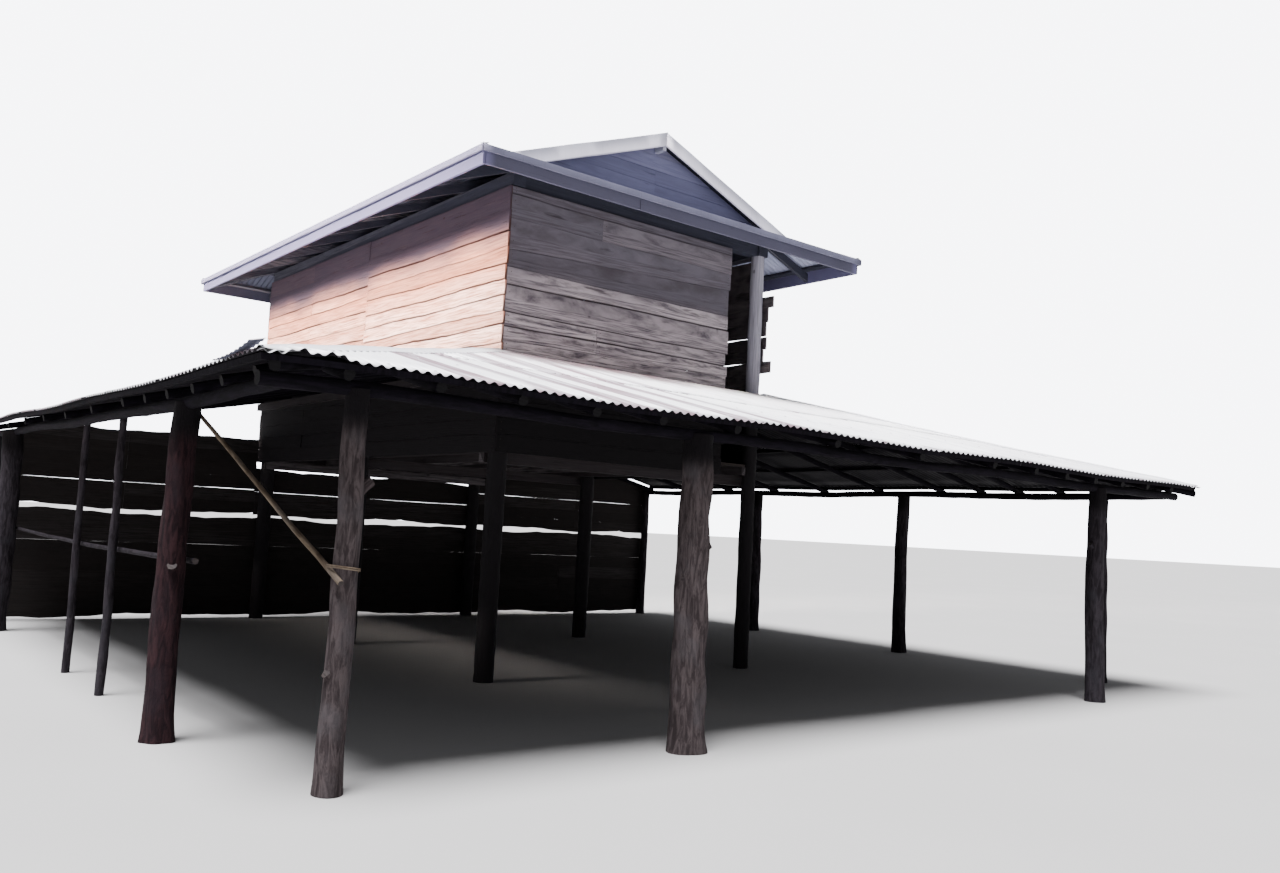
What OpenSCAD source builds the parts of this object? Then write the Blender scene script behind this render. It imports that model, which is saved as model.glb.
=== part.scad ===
// A granary of boards raised on posts, with an open lean-to of poles and
// corrugated sheet round its front and both sides.
// Millimetres. X runs along the front, the front faces -Y, and +Z is up.
// The origin is under the middle of the whole building, on the ground.

/* [Granary] */
// Width of the granary across the front, over its boards
granary_w = 3800; // [3400:50:4600]
// Length of the granary from front to back, over its boards
granary_l = 6800; // [6000:50:8000]
// Height of the top of the floor boards above the ground
floor_z = 2450; // [2350:10:2600]
// Thickness of the wall boards
wall_t = 30; // [20:1:40]
// Width across the flats of a hewn granary post
granary_post = 200; // [150:5:240]
// Clear width of the open bay between the front boards and the corner post
doorway_w = 440; // [350:10:800]
// Thickness of the floor boards
floor_t = 30; // [20:1:40]
// Depth of a floor joist
joist_h = 100; // [80:5:120]
// Width of a floor joist
joist_w = 60; // [50:5:90]
// Depth of a floor beam
floor_beam_h = 120; // [100:5:140]
// Width of a floor beam
floor_beam_w = 100; // [80:5:120]

/* [Upper roof] */
// Height of the sheet at the upper eaves
eave_z = 5050; // [4900:10:5400]
// Distance that the upper eaves stand out from the walls
eave_out = 800; // [600:10:900]
// Pitch of the upper roof in degrees
upper_pitch = 20.9; // [16:0.1:26]
// Distance that the gable verges stand out from the gable boards
verge_out = 170; // [120:5:260]
// Depth of an upper rafter
upper_rafter_h = 100; // [80:5:120]
// Width of an upper rafter
upper_rafter_w = 50; // [40:5:70]
// Width of a wall plate or tie beam
plate_w = 150; // [100:5:180]
// Height of a wall plate or tie beam
plate_h = 140; // [100:5:180]
// Width of the ridge beam
ridge_w = 50; // [40:5:80]
// Height of the ridge beam
ridge_h = 120; // [100:5:160]
// Side of a king post
king_w = 100; // [80:5:140]
// Height of the fascia boards
fascia_h = 160; // [120:5:200]
// Thickness of the fascia and gable boards
fascia_t = 25; // [18:1:35]
// Drop of the verge flashing down the face of the roof
verge_drop = 120; // [80:5:160]

/* [Lean-to] */
// Distance that the front lean-to reaches out from the granary
front_lean = 3500; // [3000:50:4000]
// Distance that the left lean-to reaches out from the granary
left_lean = 3600; // [3000:50:4000]
// Distance that the right lean-to reaches out from the granary
right_lean = 3950; // [3400:50:4400]
// Height of the sheet at the lean-to eaves
lean_eave_z = 2450; // [2400:10:2600]
// Height of the sheet where the lean-to meets the granary
lean_top_z = 3330; // [3200:10:3500]
// Diameter of a rafter pole
rafter_d = 80; // [60:2:100]
// Diameter of an eave beam
beam_d = 90; // [80:2:110]
// Distance of the eave beams and their posts in from the eaves
post_inset = 250; // [200:10:350]
// Depth of the ledgers that carry the upper ends of the rafters
ledger_h = 100; // [80:5:140]
// Thickness of the ledgers
ledger_t = 60; // [40:5:80]
// Number of common rafters on the front
front_commons = 4; // [3:1:6]
// Number of common rafters on each side
side_commons = 7; // [5:1:9]
// Distance between jack rafters
jack_pitch = 600; // [450:10:800]

/* [Roofing] */
// Distance between two crests of the corrugated sheet
wave_pitch = 76; // [70:1:90]
// Depth of the corrugation, over both faces
wave_h = 20; // [16:1:26]
// Thickness of the sheet
sheet_t = 4; // [2:0.5:6]
// Thickness of a purlin
purlin_t = 40; // [30:1:60]
// Width of a purlin
purlin_w = 60; // [40:1:80]
// Thickness of the folded flashings
flashing_t = 2; // [1:0.5:4]
// Width of one wing of a flashing
flashing_w = 150; // [100:5:200]

/* [Posts] */
// Place of the front left post, to the left of the granary
front_left_x = 2910; // [2500:10:3100]
// Place of the front middle post, to the left of the granary
front_middle_x = 170; // [0:10:600]
// Place of the front right post, to the right of the granary
front_right_x = 1990; // [1500:10:2600]
// Place of the left front post, forward of the granary
left_front_y = 1440; // [1100:10:2000]
// Place of the left back post, in from the back of the granary
left_back_y = 1250; // [900:10:1800]
// Place of the right front post, forward of the granary
right_front_y = 2400; // [1800:10:2800]
// Radius of the front left post at its foot
front_left_r = 82; // [74:1:110]
// Radius of the front middle post at its foot
front_middle_r = 140; // [110:1:160]
// Radius of the other log posts at their feet
log_r = 100; // [85:1:120]
// Radius of the thin props on the left
prop_r = 40; // [30:1:50]
// Radius of the rail on the left
rail_r = 22; // [18:1:35]
// Height of the rail above the ground
rail_z = 1220; // [900:10:1500]
// Radius of the brace pole
brace_r = 18; // [14:1:25]
// Height at which the brace pole meets the front left post
brace_z = 1260; // [1000:10:1500]

/* [Back screen] */
// Height of the top of the back screen beside the granary
screen_top = 2620; // [2500:10:2700]
// Height of the gap along the middle of the back screen
screen_gap_z = 1450; // [1200:10:1700]
// Height of that gap
screen_gap = 80; // [40:5:120]
// Thickness of the screen boards
screen_t = 25; // [18:1:35]
// Height of the lower edge of the screen above the ground
screen_foot = 80; // [40:5:200]

/* [Hidden] */
// Gap left between pieces that bear on each other
seat = 0.3;
// Gap left between sheets that meet at a hip
mitre = 3;
// Distance that the wall boards reach down over the joists, and stop below the plates
wall_lap = 20;
wall_gap = 6;
$fn = 32;
OCTAGON = 8;
// Longer than any piece, for cutters
far = 20000;

// Rises, pitches and lengths of the slopes
lean_rise = lean_top_z - lean_eave_z;
front_pitch = atan(lean_rise / front_lean);
left_pitch = atan(lean_rise / left_lean);
right_pitch = atan(lean_rise / right_lean);
half_span = granary_w / 2 + eave_out;
ridge_z = eave_z + half_span * tan(upper_pitch);

// Depths of the layers below the top of the sheet, square to the slope
rafter_top = wave_h + purlin_t;
lean_rafter_low = rafter_top + rafter_d;
upper_rafter_low = rafter_top + upper_rafter_h;

// Heights in the granary
joist_top = floor_z - floor_t;
floor_beam_top = joist_top - joist_h;
floor_beam_low = floor_beam_top - floor_beam_h;
wall_low = floor_beam_top - wall_lap;
plate_top = eave_z + (eave_out + wall_t) * tan(upper_pitch) - (upper_rafter_low + seat) / cos(upper_pitch);
plate_low = plate_top - plate_h;
wall_top = plate_low - wall_gap;
skirt_top_z = eave_z + eave_out * tan(upper_pitch);
ridge_beam_top = ridge_z - rafter_top / cos(upper_pitch) - ridge_w / 2 * tan(upper_pitch) - seat;
ridge_beam_low = ridge_beam_top - ridge_h;

// Places in the granary
post_mid_y = granary_l / 2;
post_rows = [wall_t + granary_post / 2, post_mid_y, granary_l - wall_t - granary_post / 2];
boards_end = granary_w - wall_t - granary_post - doorway_w;
door_stud_w = 80;
sheet_inset = 30;
fascia_face = eave_out - sheet_inset;

// Eave beams of the lean-to: depth of the axis below the slope, and heights
beam_depth = lean_rafter_low + beam_d / 2 + seat;
front_beam_z = lean_eave_z + post_inset * tan(front_pitch) - beam_depth / cos(front_pitch);
left_beam_z = lean_eave_z + post_inset * tan(left_pitch) - beam_depth / cos(left_pitch);
right_beam_z = lean_eave_z + post_inset * tan(right_pitch) - beam_depth / cos(right_pitch);
front_beam_y = -(front_lean - post_inset);
left_beam_x = -(left_lean - post_inset);
right_beam_x = granary_w + right_lean - post_inset;

// Back screen and the corner posts that it is nailed to
screen_y = granary_l - wall_t;
corner_post_r = 75;
corner_post_y = screen_y - corner_post_r - seat;
screen_end = 60;

// Rail on the left, which lies against the inner side of the posts and props
rail_x = left_beam_x + log_r + rail_r + seat;
prop_x = rail_x - rail_r - prop_r - seat;
left_back_r = log_r + 20;
left_back_x = rail_x - rail_r - left_back_r - seat;
prop_ys = [540, 1900];

// Moves the building from the granary's front left corner to the middle of the whole
module place() {
    translate([
        (left_lean - granary_w - right_lean) / 2,
        (front_lean - granary_l - eave_out) / 2,
        0
    ]) children();
}

// Frames on the four slopes of a roof that stands out from the granary. Local x runs along
// the eave, local y up the slope and local z square to it, with the top of the sheet at z = 0.
module at_front(out, z, pitch) {
    translate([0, -out, z]) rotate([pitch, 0, 0]) children();
}
module at_left(out, z, pitch) {
    translate([-out, 0, z]) rotate([0, 0, -90]) rotate([pitch, 0, 0]) children();
}
module at_right(out, z, pitch) {
    translate([granary_w + out, 0, z]) rotate([0, 0, 90]) rotate([pitch, 0, 0]) children();
}
module at_back(out, z, pitch) {
    translate([0, granary_l + out, z]) rotate([0, 0, 180]) rotate([pitch, 0, 0]) children();
}
module lean_front() { at_front(front_lean, lean_eave_z, front_pitch) children(); }
module lean_left() { at_left(left_lean, lean_eave_z, left_pitch) children(); }
module lean_right() { at_right(right_lean, lean_eave_z, right_pitch) children(); }

// Keeps what stands over an outline in plan
module over(outline) {
    intersection() {
        union() children();
        linear_extrude(height = 2 * eave_z) polygon(outline);
    }
}

// Shift along one side that moves a hip line sideways by gap, where the hip runs over run and across
function hip_shift(gap, run, across) = gap * sqrt(run * run + across * across) / across;

// Outlines in plan of the three lean-to slopes, kept back by gap from the hips, by foot from
// the eave and by head from the granary
function front_plan(gap, foot = 0, head = 0) =
    let (l = hip_shift(gap, left_lean, front_lean), r = hip_shift(gap, right_lean, front_lean),
         lf = foot * left_lean / front_lean, rf = foot * right_lean / front_lean,
         lh = head * left_lean / front_lean, rh = head * right_lean / front_lean)
    [
        [-left_lean + lf + l, -front_lean + foot], [granary_w + right_lean - rf - r, -front_lean + foot],
        [granary_w + rh - r, -head], [l - lh, -head]
    ];
function left_plan(gap, foot = 0, head = 0, back = granary_l) =
    let (s = hip_shift(gap, front_lean, left_lean),
         f = foot * front_lean / left_lean, h = head * front_lean / left_lean)
    [
        [-left_lean + foot, -front_lean + f + s], [-head, s - h], [-head, back], [-left_lean + foot, back]
    ];
function right_plan(gap, foot = 0, head = 0, back = granary_l) =
    let (s = hip_shift(gap, front_lean, right_lean),
         f = foot * front_lean / right_lean, h = head * front_lean / right_lean,
         edge = granary_w + right_lean - foot)
    [
        [granary_w + head, s - h], [edge, -front_lean + f + s], [edge, back], [granary_w + head, back]
    ];

// A rafter pole up the slope at local x, from foot, with its top face at the rafters' depth
module pole(x, length, foot = sheet_inset) {
    translate([x, foot, -rafter_top - rafter_d / 2]) rotate([-90, 0, 0])
        cylinder(d = rafter_d, h = length - foot);
}

// Purlins along a slope, evenly spread between the foot and the head
module purlins(x0, x1, length, count, foot, head) {
    step = (length - foot - head - purlin_w) / (count - 1);
    for (i = [0 : count - 1])
        translate([x0, foot + i * step, -rafter_top + seat]) cube([x1 - x0, purlin_w, purlin_t - 2 * seat]);
}

// Cross-section of corrugated sheet from x0 to x1: flat crests and valleys joined by slopes
function wave_line(x0, x1, drop) = [
    for (i = [0 : ceil((x1 - x0) / wave_pitch) - 1])
        for (corner = [[0.06, 0], [0.30, 0], [0.56, 1], [0.80, 1]])
            [x0 + (i + corner[0]) * wave_pitch, -corner[1] * (wave_h - sheet_t) - drop]
];
function reversed(list) = [for (i = [len(list) - 1 : -1 : 0]) list[i]];

// A field of corrugated sheet, from local x0 to x1 and up the slope from foot to length
module sheeting(x0, x1, foot, length) {
    translate([0, length, 0]) rotate([90, 0, 0]) linear_extrude(height = length - foot)
        polygon(concat(wave_line(x0, x1, 0), reversed(wave_line(x0, x1, sheet_t))));
}

// A thin plate just above a slope, from which flashings are cut
module plate(lift) {
    translate([-far, -far, lift]) cube([2 * far, 2 * far, flashing_t]);
}

// Lean-to posts

// A ring of points round a log at height z, leaning and swelling a little as logs do
LOG_SIDES = 12;
LOG_RINGS = 7;
log_taper = 12;
middle_taper = 30;
thin_taper = 8;
front_left_turn = 20;
left_front_turn = 130;
function log_ring(z, h, r, turn) =
    let (t = z / h, bend = sin(180 * t) * r * 0.16)
    [
        for (i = [0 : LOG_SIDES - 1])
            let (a = i * 360 / LOG_SIDES, swell = 1 + 0.05 * sin(3 * a + 200 * t + turn))
            [
                cos(turn) * bend + cos(a) * r * swell,
                sin(turn) * bend + sin(a) * r * swell,
                z
            ]
    ];

// Mean radius of a log at the fraction t of its height, and how far it reaches towards a bearing at height z
function log_radius(t, r0, r1) = r0 + (r1 - r0) * pow(t, 0.7);
function log_reach(z, h, r0, r1, turn, bearing) =
    max([
        for (p = log_ring(z, h, log_radius(z / h, r0, r1), turn)) p[0] * cos(bearing) + p[1] * sin(bearing)
    ]);

// An unsawn log that stands on the ground, with radius r0 at its foot and r1 at its head
module trunk(h, r0, r1, turn) {
    rings = [for (k = [0 : LOG_RINGS - 1])
        let (t = k / (LOG_RINGS - 1))
        each log_ring(t * h, h, log_radius(t, r0, r1), turn)];
    bottom = [[for (i = [0 : LOG_SIDES - 1]) i]];
    top = [[for (i = [LOG_SIDES - 1 : -1 : 0]) (LOG_RINGS - 1) * LOG_SIDES + i]];
    sides = [
        for (k = [0 : LOG_RINGS - 2])
            for (i = [0 : LOG_SIDES - 1])
                let (a = k * LOG_SIDES + i, b = k * LOG_SIDES + (i + 1) % LOG_SIDES)
                each [[a, a + LOG_SIDES, b + LOG_SIDES], [a, b + LOG_SIDES, b]]
    ];
    polyhedron(points = rings, faces = concat(bottom, top, sides), convexity = 4);
}

// A log post whose head is hollowed into a saddle for a beam along X or Y
module saddle_post(x, y, beam_z, r0, r1, turn, along, off = [0, 0]) {
    difference() {
        translate([x, y, 0]) {
            trunk(beam_z, r0, r1, turn);
            children();
        }
        translate([x + off[0], y + off[1], beam_z]) rotate(along == "x" ? [0, 90, 0] : [90, 0, 0])
            cylinder(d = beam_d + 2 * seat, h = 4 * r0, center = true);
    }
}

// Heights of the sawn branch stubs, and the size of a stub and of a knot
front_left_stub_z = 1690;
front_middle_stub_z = 1930;
front_middle_knot_z = 1180;
front_right_stub_z = 1600;
stub_r = 32;
knot_r = 44;
stub_reach = 150;
STUB_TILT = 48;

// The sawn stub of a branch, at height z, turned to face a
module branch_stub(z, a, r) {
    translate([0, 0, z]) rotate([0, 0, a]) rotate([0, STUB_TILT, 0])
        cylinder(r = r, h = stub_reach, $fn = 16);
}

module post_front_left() {
    color("tan") saddle_post(-front_left_x, front_beam_y, front_beam_z,
        front_left_r, front_left_r - log_taper, front_left_turn, "x")
        branch_stub(front_left_stub_z, 0, stub_r);
}
module post_front_middle() {
    color("tan") saddle_post(-front_middle_x, front_beam_y, front_beam_z,
        front_middle_r, front_middle_r - middle_taper, 200, "x") {
        branch_stub(front_middle_stub_z, 15, knot_r);
        branch_stub(front_middle_knot_z, 190, knot_r);
    }
}
module post_front_right() {
    color("tan") saddle_post(granary_w + front_right_x, front_beam_y, front_beam_z,
        log_r, log_r - log_taper, 80, "x")
        branch_stub(front_right_stub_z, 170, stub_r);
}
module post_left_front() {
    color("sienna") saddle_post(left_beam_x, -left_front_y, left_beam_z,
        log_r, log_r - log_taper, left_front_turn, "y");
}
module posts_left_back() {
    color("gray") {
        saddle_post(left_back_x, granary_l - left_back_y, left_beam_z,
            left_back_r, left_back_r - log_taper, 300, "y", [left_beam_x - left_back_x, 0]);
        saddle_post(left_beam_x, corner_post_y, left_beam_z,
            corner_post_r, corner_post_r - thin_taper, 60, "y");
    }
}
module posts_right() {
    front = -right_front_y;
    step = (corner_post_y - front) / 3;
    color("tan") for (i = [0 : 3])
        saddle_post(right_beam_x, front + i * step, right_beam_z, i == 3 ? corner_post_r : log_r,
            i == 3 ? corner_post_r - thin_taper : log_r - log_taper, 40 + 90 * i, "y");
}

// Hewn granary posts, with flats towards the walls

module hewn_post(x, y) {
    translate([x, y, 0]) rotate([0, 0, 180 / OCTAGON])
        cylinder(d = granary_post / cos(180 / OCTAGON), h = plate_low, $fn = OCTAGON);
}
module granary_posts() {
    color("sienna") for (x = [wall_t + granary_post / 2, granary_w - wall_t - granary_post / 2])
        for (y = post_rows)
            hewn_post(x, y);
}

// Frame of the lean-to

beam_end = 100;
module eave_beam_front() {
    color("tan") translate([-left_lean + beam_end, front_beam_y, front_beam_z]) rotate([0, 90, 0])
        cylinder(d = beam_d, h = granary_w + left_lean + right_lean - 2 * beam_end);
}
module side_beam(x, z) {
    first = front_beam_y + beam_d / 2 + seat;
    translate([x, first, z]) rotate([-90, 0, 0]) cylinder(d = beam_d, h = screen_y - first - seat);
}
module side_eave_beams() {
    color("tan") {
        side_beam(left_beam_x, left_beam_z);
        side_beam(right_beam_x, right_beam_z);
    }
}

// Height of a ledger's top, so that the poles of a slope bear on its outer edge
function ledger_z(pitch) =
    lean_top_z - ledger_t * tan(pitch) - (lean_rafter_low + seat) / cos(pitch) - ledger_h;
module rafter_ledgers() {
    color("tan") {
        translate([0, -ledger_t, ledger_z(front_pitch)]) cube([granary_w, ledger_t, ledger_h]);
        translate([-ledger_t, seat, ledger_z(left_pitch)]) cube([ledger_t, granary_l - seat, ledger_h]);
        translate([granary_w, seat, ledger_z(right_pitch)]) cube([ledger_t, granary_l - seat, ledger_h]);
    }
}

// A pole under a hip, from the eave corner to the granary corner
module hip_pole(corner, top) {
    run = norm([top[0] - corner[0], top[1] - corner[1]]);
    slope = atan(lean_rise / run);
    drop = (rafter_top + rafter_d / 2) / cos(front_pitch);
    difference() {
        translate([corner[0], corner[1], lean_eave_z - drop])
            rotate([0, 0, atan2(top[1] - corner[1], top[0] - corner[0])]) rotate([0, 90 - slope, 0])
                translate([0, 0, 2 * sheet_inset]) cylinder(d = rafter_d, h = run / cos(slope));
        translate([-seat, -seat, 0]) cube([granary_w + 2 * seat, granary_l, far]);
    }
}
module hip_rafters() {
    color("tan") {
        hip_pole([-left_lean, -front_lean], [0, 0]);
        hip_pole([granary_w + right_lean, -front_lean], [granary_w, 0]);
    }
}

// Places of the rafters along a side: jacks out from a corner, and commons between two ends
function jacks(reach) = [for (d = [jack_pitch : jack_pitch : reach - rafter_d]) d];
function commons(length, count, first) =
    [for (i = [0 : count - 1]) first + i * (length - 2 * first) / (count - 1)];

common_end = 70;
jack_gap = rafter_d / 2 + seat;
front_slope = front_lean / cos(front_pitch);
left_slope = left_lean / cos(left_pitch);
right_slope = right_lean / cos(right_pitch);
module front_rafters() {
    color("tan") over(front_plan(jack_gap, 0, seat)) lean_front()
        for (x = concat(commons(granary_w, front_commons, common_end + rafter_d),
            [for (d = jacks(left_lean)) -d], [for (d = jacks(right_lean)) granary_w + d]))
            pole(x, front_slope);
}
module left_rafters() {
    color("tan") over(left_plan(jack_gap, 0, seat)) lean_left()
        for (y = concat(commons(granary_l, side_commons, common_end), [for (d = jacks(front_lean)) -d]))
            pole(-y, left_slope);
}
module right_rafters() {
    color("tan") over(right_plan(jack_gap, 0, seat)) lean_right()
        for (y = concat(commons(granary_l, side_commons, common_end), [for (d = jacks(front_lean)) -d]))
            pole(y, right_slope);
}

purlin_rows = 5;
module lean_purlins() {
    color("tan") {
        over(front_plan(seat, 0, seat)) lean_front()
            purlins(-left_lean, granary_w + right_lean, front_slope, purlin_rows, sheet_inset, sheet_inset);
        over(left_plan(seat, 0, seat)) lean_left()
            purlins(-granary_l, front_lean, left_slope, purlin_rows, sheet_inset, sheet_inset);
        over(right_plan(seat, 0, seat)) lean_right()
            purlins(-front_lean, granary_l, right_slope, purlin_rows, sheet_inset, sheet_inset);
    }
}

// Corrugated sheet and hip flashings of the lean-to

module front_lean_roof() {
    color("lightgray") over(front_plan(mitre, 0, seat)) lean_front()
        sheeting(-left_lean, granary_w + right_lean + wave_pitch, 0, front_slope);
}
module left_lean_roof() {
    color("lightgray") over(left_plan(mitre, 0, seat)) lean_left()
        sheeting(-granary_l - wave_pitch, front_lean + wave_pitch, 0, left_slope);
}
module right_lean_roof() {
    color("lightgray") over(right_plan(mitre, 0, seat)) lean_right()
        sheeting(-front_lean - wave_pitch, granary_l + wave_pitch, 0, right_slope);
}
// Wing of a flashing on a slope of that length, beside a hip from foot to head along local x
module hip_wing(foot, head, length) {
    side = sign(head - foot) * norm([head - foot, length]) / length;
    low = 2 * mitre;
    high = length - mitre;
    function edge(y, in) = [foot + (head - foot) * y / length + side * in, y];
    translate([0, 0, seat]) linear_extrude(height = flashing_t)
        polygon([edge(low, mitre), edge(low, flashing_w), edge(high, flashing_w), edge(high, mitre)]);
}
module lean_hip_flashings() {
    right_x = granary_w + right_lean;
    color("silver") {
        lean_front() hip_wing(-left_lean, 0, front_slope);
        lean_left() hip_wing(front_lean, 0, left_slope);
        lean_front() hip_wing(right_x, granary_w, front_slope);
        lean_right() hip_wing(-front_lean, 0, right_slope);
    }
}

// Granary floor

module floor_beams() {
    color("sienna") for (y = [
        post_rows[0] + granary_post / 2, post_rows[1] + granary_post / 2,
        post_rows[2] - granary_post / 2 - floor_beam_w
    ])
        translate([wall_t, y, floor_beam_low]) cube([granary_w - 2 * wall_t, floor_beam_w, floor_beam_h]);
}
module floor_joists() {
    inner = wall_t + granary_post + seat;
    count = 5;
    step = (granary_w - 2 * inner - joist_w) / (count - 1);
    color("sienna") for (i = [0 : count - 1])
        translate([inner + i * step, wall_t + seat, floor_beam_top])
            cube([joist_w, granary_l - 2 * wall_t - 2 * seat, joist_h]);
}
module floor_boards() {
    notch = granary_post + 2 * seat;
    color("burlywood") difference() {
        translate([wall_t + seat, wall_t + seat, joist_top])
            cube([granary_w - 2 * wall_t - 2 * seat, granary_l - 2 * wall_t - 2 * seat, floor_t]);
        for (x = [wall_t + granary_post / 2, granary_w - wall_t - granary_post / 2])
            for (y = post_rows)
                translate([x - notch / 2, y - notch / 2, joist_top - 1]) cube([notch, notch, floor_t + 2]);
    }
}

// Granary walls

wall_h = wall_top - wall_low;
module left_wall() {
    color("peru") translate([0, 0, wall_low]) cube([wall_t, granary_l, wall_h]);
}
module right_wall() {
    color("peru") translate([granary_w - wall_t, 0, wall_low]) cube([wall_t, granary_l, wall_h]);
}
module front_wall() {
    color("rosybrown") translate([wall_t, 0, wall_low]) cube([boards_end - wall_t, wall_t, wall_h]);
}
module back_wall() {
    color("rosybrown") translate([wall_t, granary_l - wall_t, wall_low])
        cube([granary_w - 2 * wall_t, wall_t, wall_h]);
}
module door_stud() {
    color("sienna") translate([boards_end - door_stud_w, wall_t, floor_z])
        cube([door_stud_w, door_stud_w, plate_low - floor_z]);
}
module wall_plates() {
    color("sienna") for (x = [wall_t, granary_w - wall_t - plate_w])
        translate([x, 0, plate_low]) cube([plate_w, granary_l, plate_h]);
}
tie_rows = [wall_t, post_mid_y - plate_w / 2, granary_l - wall_t - plate_w];
module tie_beams() {
    inner = wall_t + plate_w;
    color("sienna") for (y = tie_rows)
        translate([inner, y, plate_low]) cube([granary_w - 2 * inner, plate_w, plate_h]);
}

// Frame of the upper roof

module king_posts() {
    color("sienna") for (y = tie_rows)
        translate([(granary_w - king_w) / 2, y + (plate_w - king_w) / 2, plate_top])
            cube([king_w, king_w, ridge_beam_low - plate_top]);
}
module ridge_beam() {
    color("sienna") translate([(granary_w - ridge_w) / 2, -verge_out + sheet_inset, ridge_beam_low])
        cube([ridge_w, granary_l + 2 * (verge_out - sheet_inset), ridge_h]);
}

module upper_left() { at_left(eave_out, eave_z, upper_pitch) children(); }
module upper_right() { at_right(eave_out, eave_z, upper_pitch) children(); }
module upper_front() { at_front(eave_out, eave_z, upper_pitch) children(); }
module upper_back() { at_back(eave_out, eave_z, upper_pitch) children(); }
upper_slope = half_span / cos(upper_pitch);
rafter_tail = fascia_face - fascia_t;

module upper_rafters() {
    first = fascia_t;
    count = 7;
    step = (granary_l - 2 * first - upper_rafter_w) / count;
    left_field = [[-rafter_tail, 0], [granary_w / 2 - ridge_w / 2 - seat, 0],
        [granary_w / 2 - ridge_w / 2 - seat, granary_l], [-rafter_tail, granary_l]];
    right_field = [for (p = left_field) [granary_w - p[0], p[1]]];
    color("sienna") for (i = [0 : count]) {
        over(left_field) upper_left() translate([-first - i * step - upper_rafter_w, 0, -upper_rafter_low])
            cube([upper_rafter_w, upper_slope, upper_rafter_h]);
        over(right_field) upper_right() translate([first + i * step, 0, -upper_rafter_low])
            cube([upper_rafter_w, upper_slope, upper_rafter_h]);
    }
}

// Short rafters of the skirts, which bear on the end tie beams
module skirt_rafters() {
    count = 4;
    inner = wall_t + plate_w + upper_rafter_w;
    step = (granary_w - 2 * inner - upper_rafter_w) / count;
    run = (rafter_tail - seat) / cos(upper_pitch);
    color("sienna") {
        for (i = [0 : count]) {
            over([[0, -rafter_tail], [granary_w, -rafter_tail], [granary_w, -seat], [0, -seat]]) upper_front()
                translate([inner + i * step, 0, -upper_rafter_low])
                    cube([upper_rafter_w, 2 * run, upper_rafter_h]);
            over([[0, granary_l + seat], [granary_w, granary_l + seat], [granary_w, granary_l + rafter_tail],
                [0, granary_l + rafter_tail]]) upper_back()
                translate([-granary_w + inner + i * step, 0, -upper_rafter_low])
                    cube([upper_rafter_w, 2 * run, upper_rafter_h]);
        }
        corner_rafters();
    }
}

// Rafters under the hips, out from the four corners of the granary to the other rafters' ends
module corner_rafters() {
    fall = atan(tan(upper_pitch) / sqrt(2));
    reach = rafter_tail * sqrt(2) - upper_rafter_w / 2;
    corners = [[0, 0], [granary_w, 0], [granary_w, granary_l], [0, granary_l]];
    for (i = [0 : 3])
        translate([corners[i][0], corners[i][1], skirt_top_z - (rafter_top + seat) / cos(upper_pitch)])
            rotate([0, 0, 225 + 90 * i]) rotate([0, fall, 0])
                translate([0, -upper_rafter_w / 2, -upper_rafter_h])
                    cube([reach / cos(fall), upper_rafter_w, upper_rafter_h]);
}

// Outlines in plan of the main slopes and skirts of the upper roof
verge_x = -verge_out;
function eave_course(gap) = [
    [-eave_out, -eave_out + gap * sqrt(2)], [verge_x - seat, verge_x - seat + gap * sqrt(2)],
    [verge_x - seat, granary_l - verge_x + seat - gap * sqrt(2)],
    [-eave_out, granary_l + eave_out - gap * sqrt(2)]
];
function main_course() = [
    [verge_x + seat, verge_x], [granary_w / 2 - mitre, verge_x],
    [granary_w / 2 - mitre, granary_l - verge_x], [verge_x + seat, granary_l - verge_x]
];
function mirrored(outline) = [for (p = outline) [granary_w - p[0], p[1]]];
function skirt_plan(gap, head) = [
    [-eave_out + gap * sqrt(2), -eave_out], [granary_w + eave_out - gap * sqrt(2), -eave_out],
    [granary_w + head - gap * sqrt(2), -head], [-head + gap * sqrt(2), -head]
];
function turned(outline) = [for (p = outline) [granary_w - p[0], granary_l - p[1]]];

upper_purlin_count = 5;
purlin_gap = 20;
purlin_foot = sheet_inset + fascia_t + purlin_gap;
module slope_purlins(x0, x1) {
    purlins(x0, x1, upper_slope, upper_purlin_count, purlin_foot, purlin_gap);
}
module upper_purlins() {
    run = eave_out / cos(upper_pitch);
    head = verge_out / cos(upper_pitch) + purlin_gap;
    color("sienna") {
        over(eave_course(seat)) upper_left() slope_purlins(-granary_l - eave_out, eave_out);
        over(main_course()) upper_left() slope_purlins(-granary_l - eave_out, eave_out);
        over(mirrored(eave_course(seat))) upper_right() slope_purlins(-eave_out, granary_l + eave_out);
        over(mirrored(main_course())) upper_right() slope_purlins(-eave_out, granary_l + eave_out);
        over(skirt_plan(seat, seat)) upper_front()
            purlins(-eave_out, granary_w + eave_out, run, 2, purlin_foot, head);
        over(turned(skirt_plan(seat, seat))) upper_back()
            purlins(-granary_w - eave_out, eave_out, run, 2, purlin_foot, head);
    }
}

// Sheet, boards and flashings of the upper roof

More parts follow.
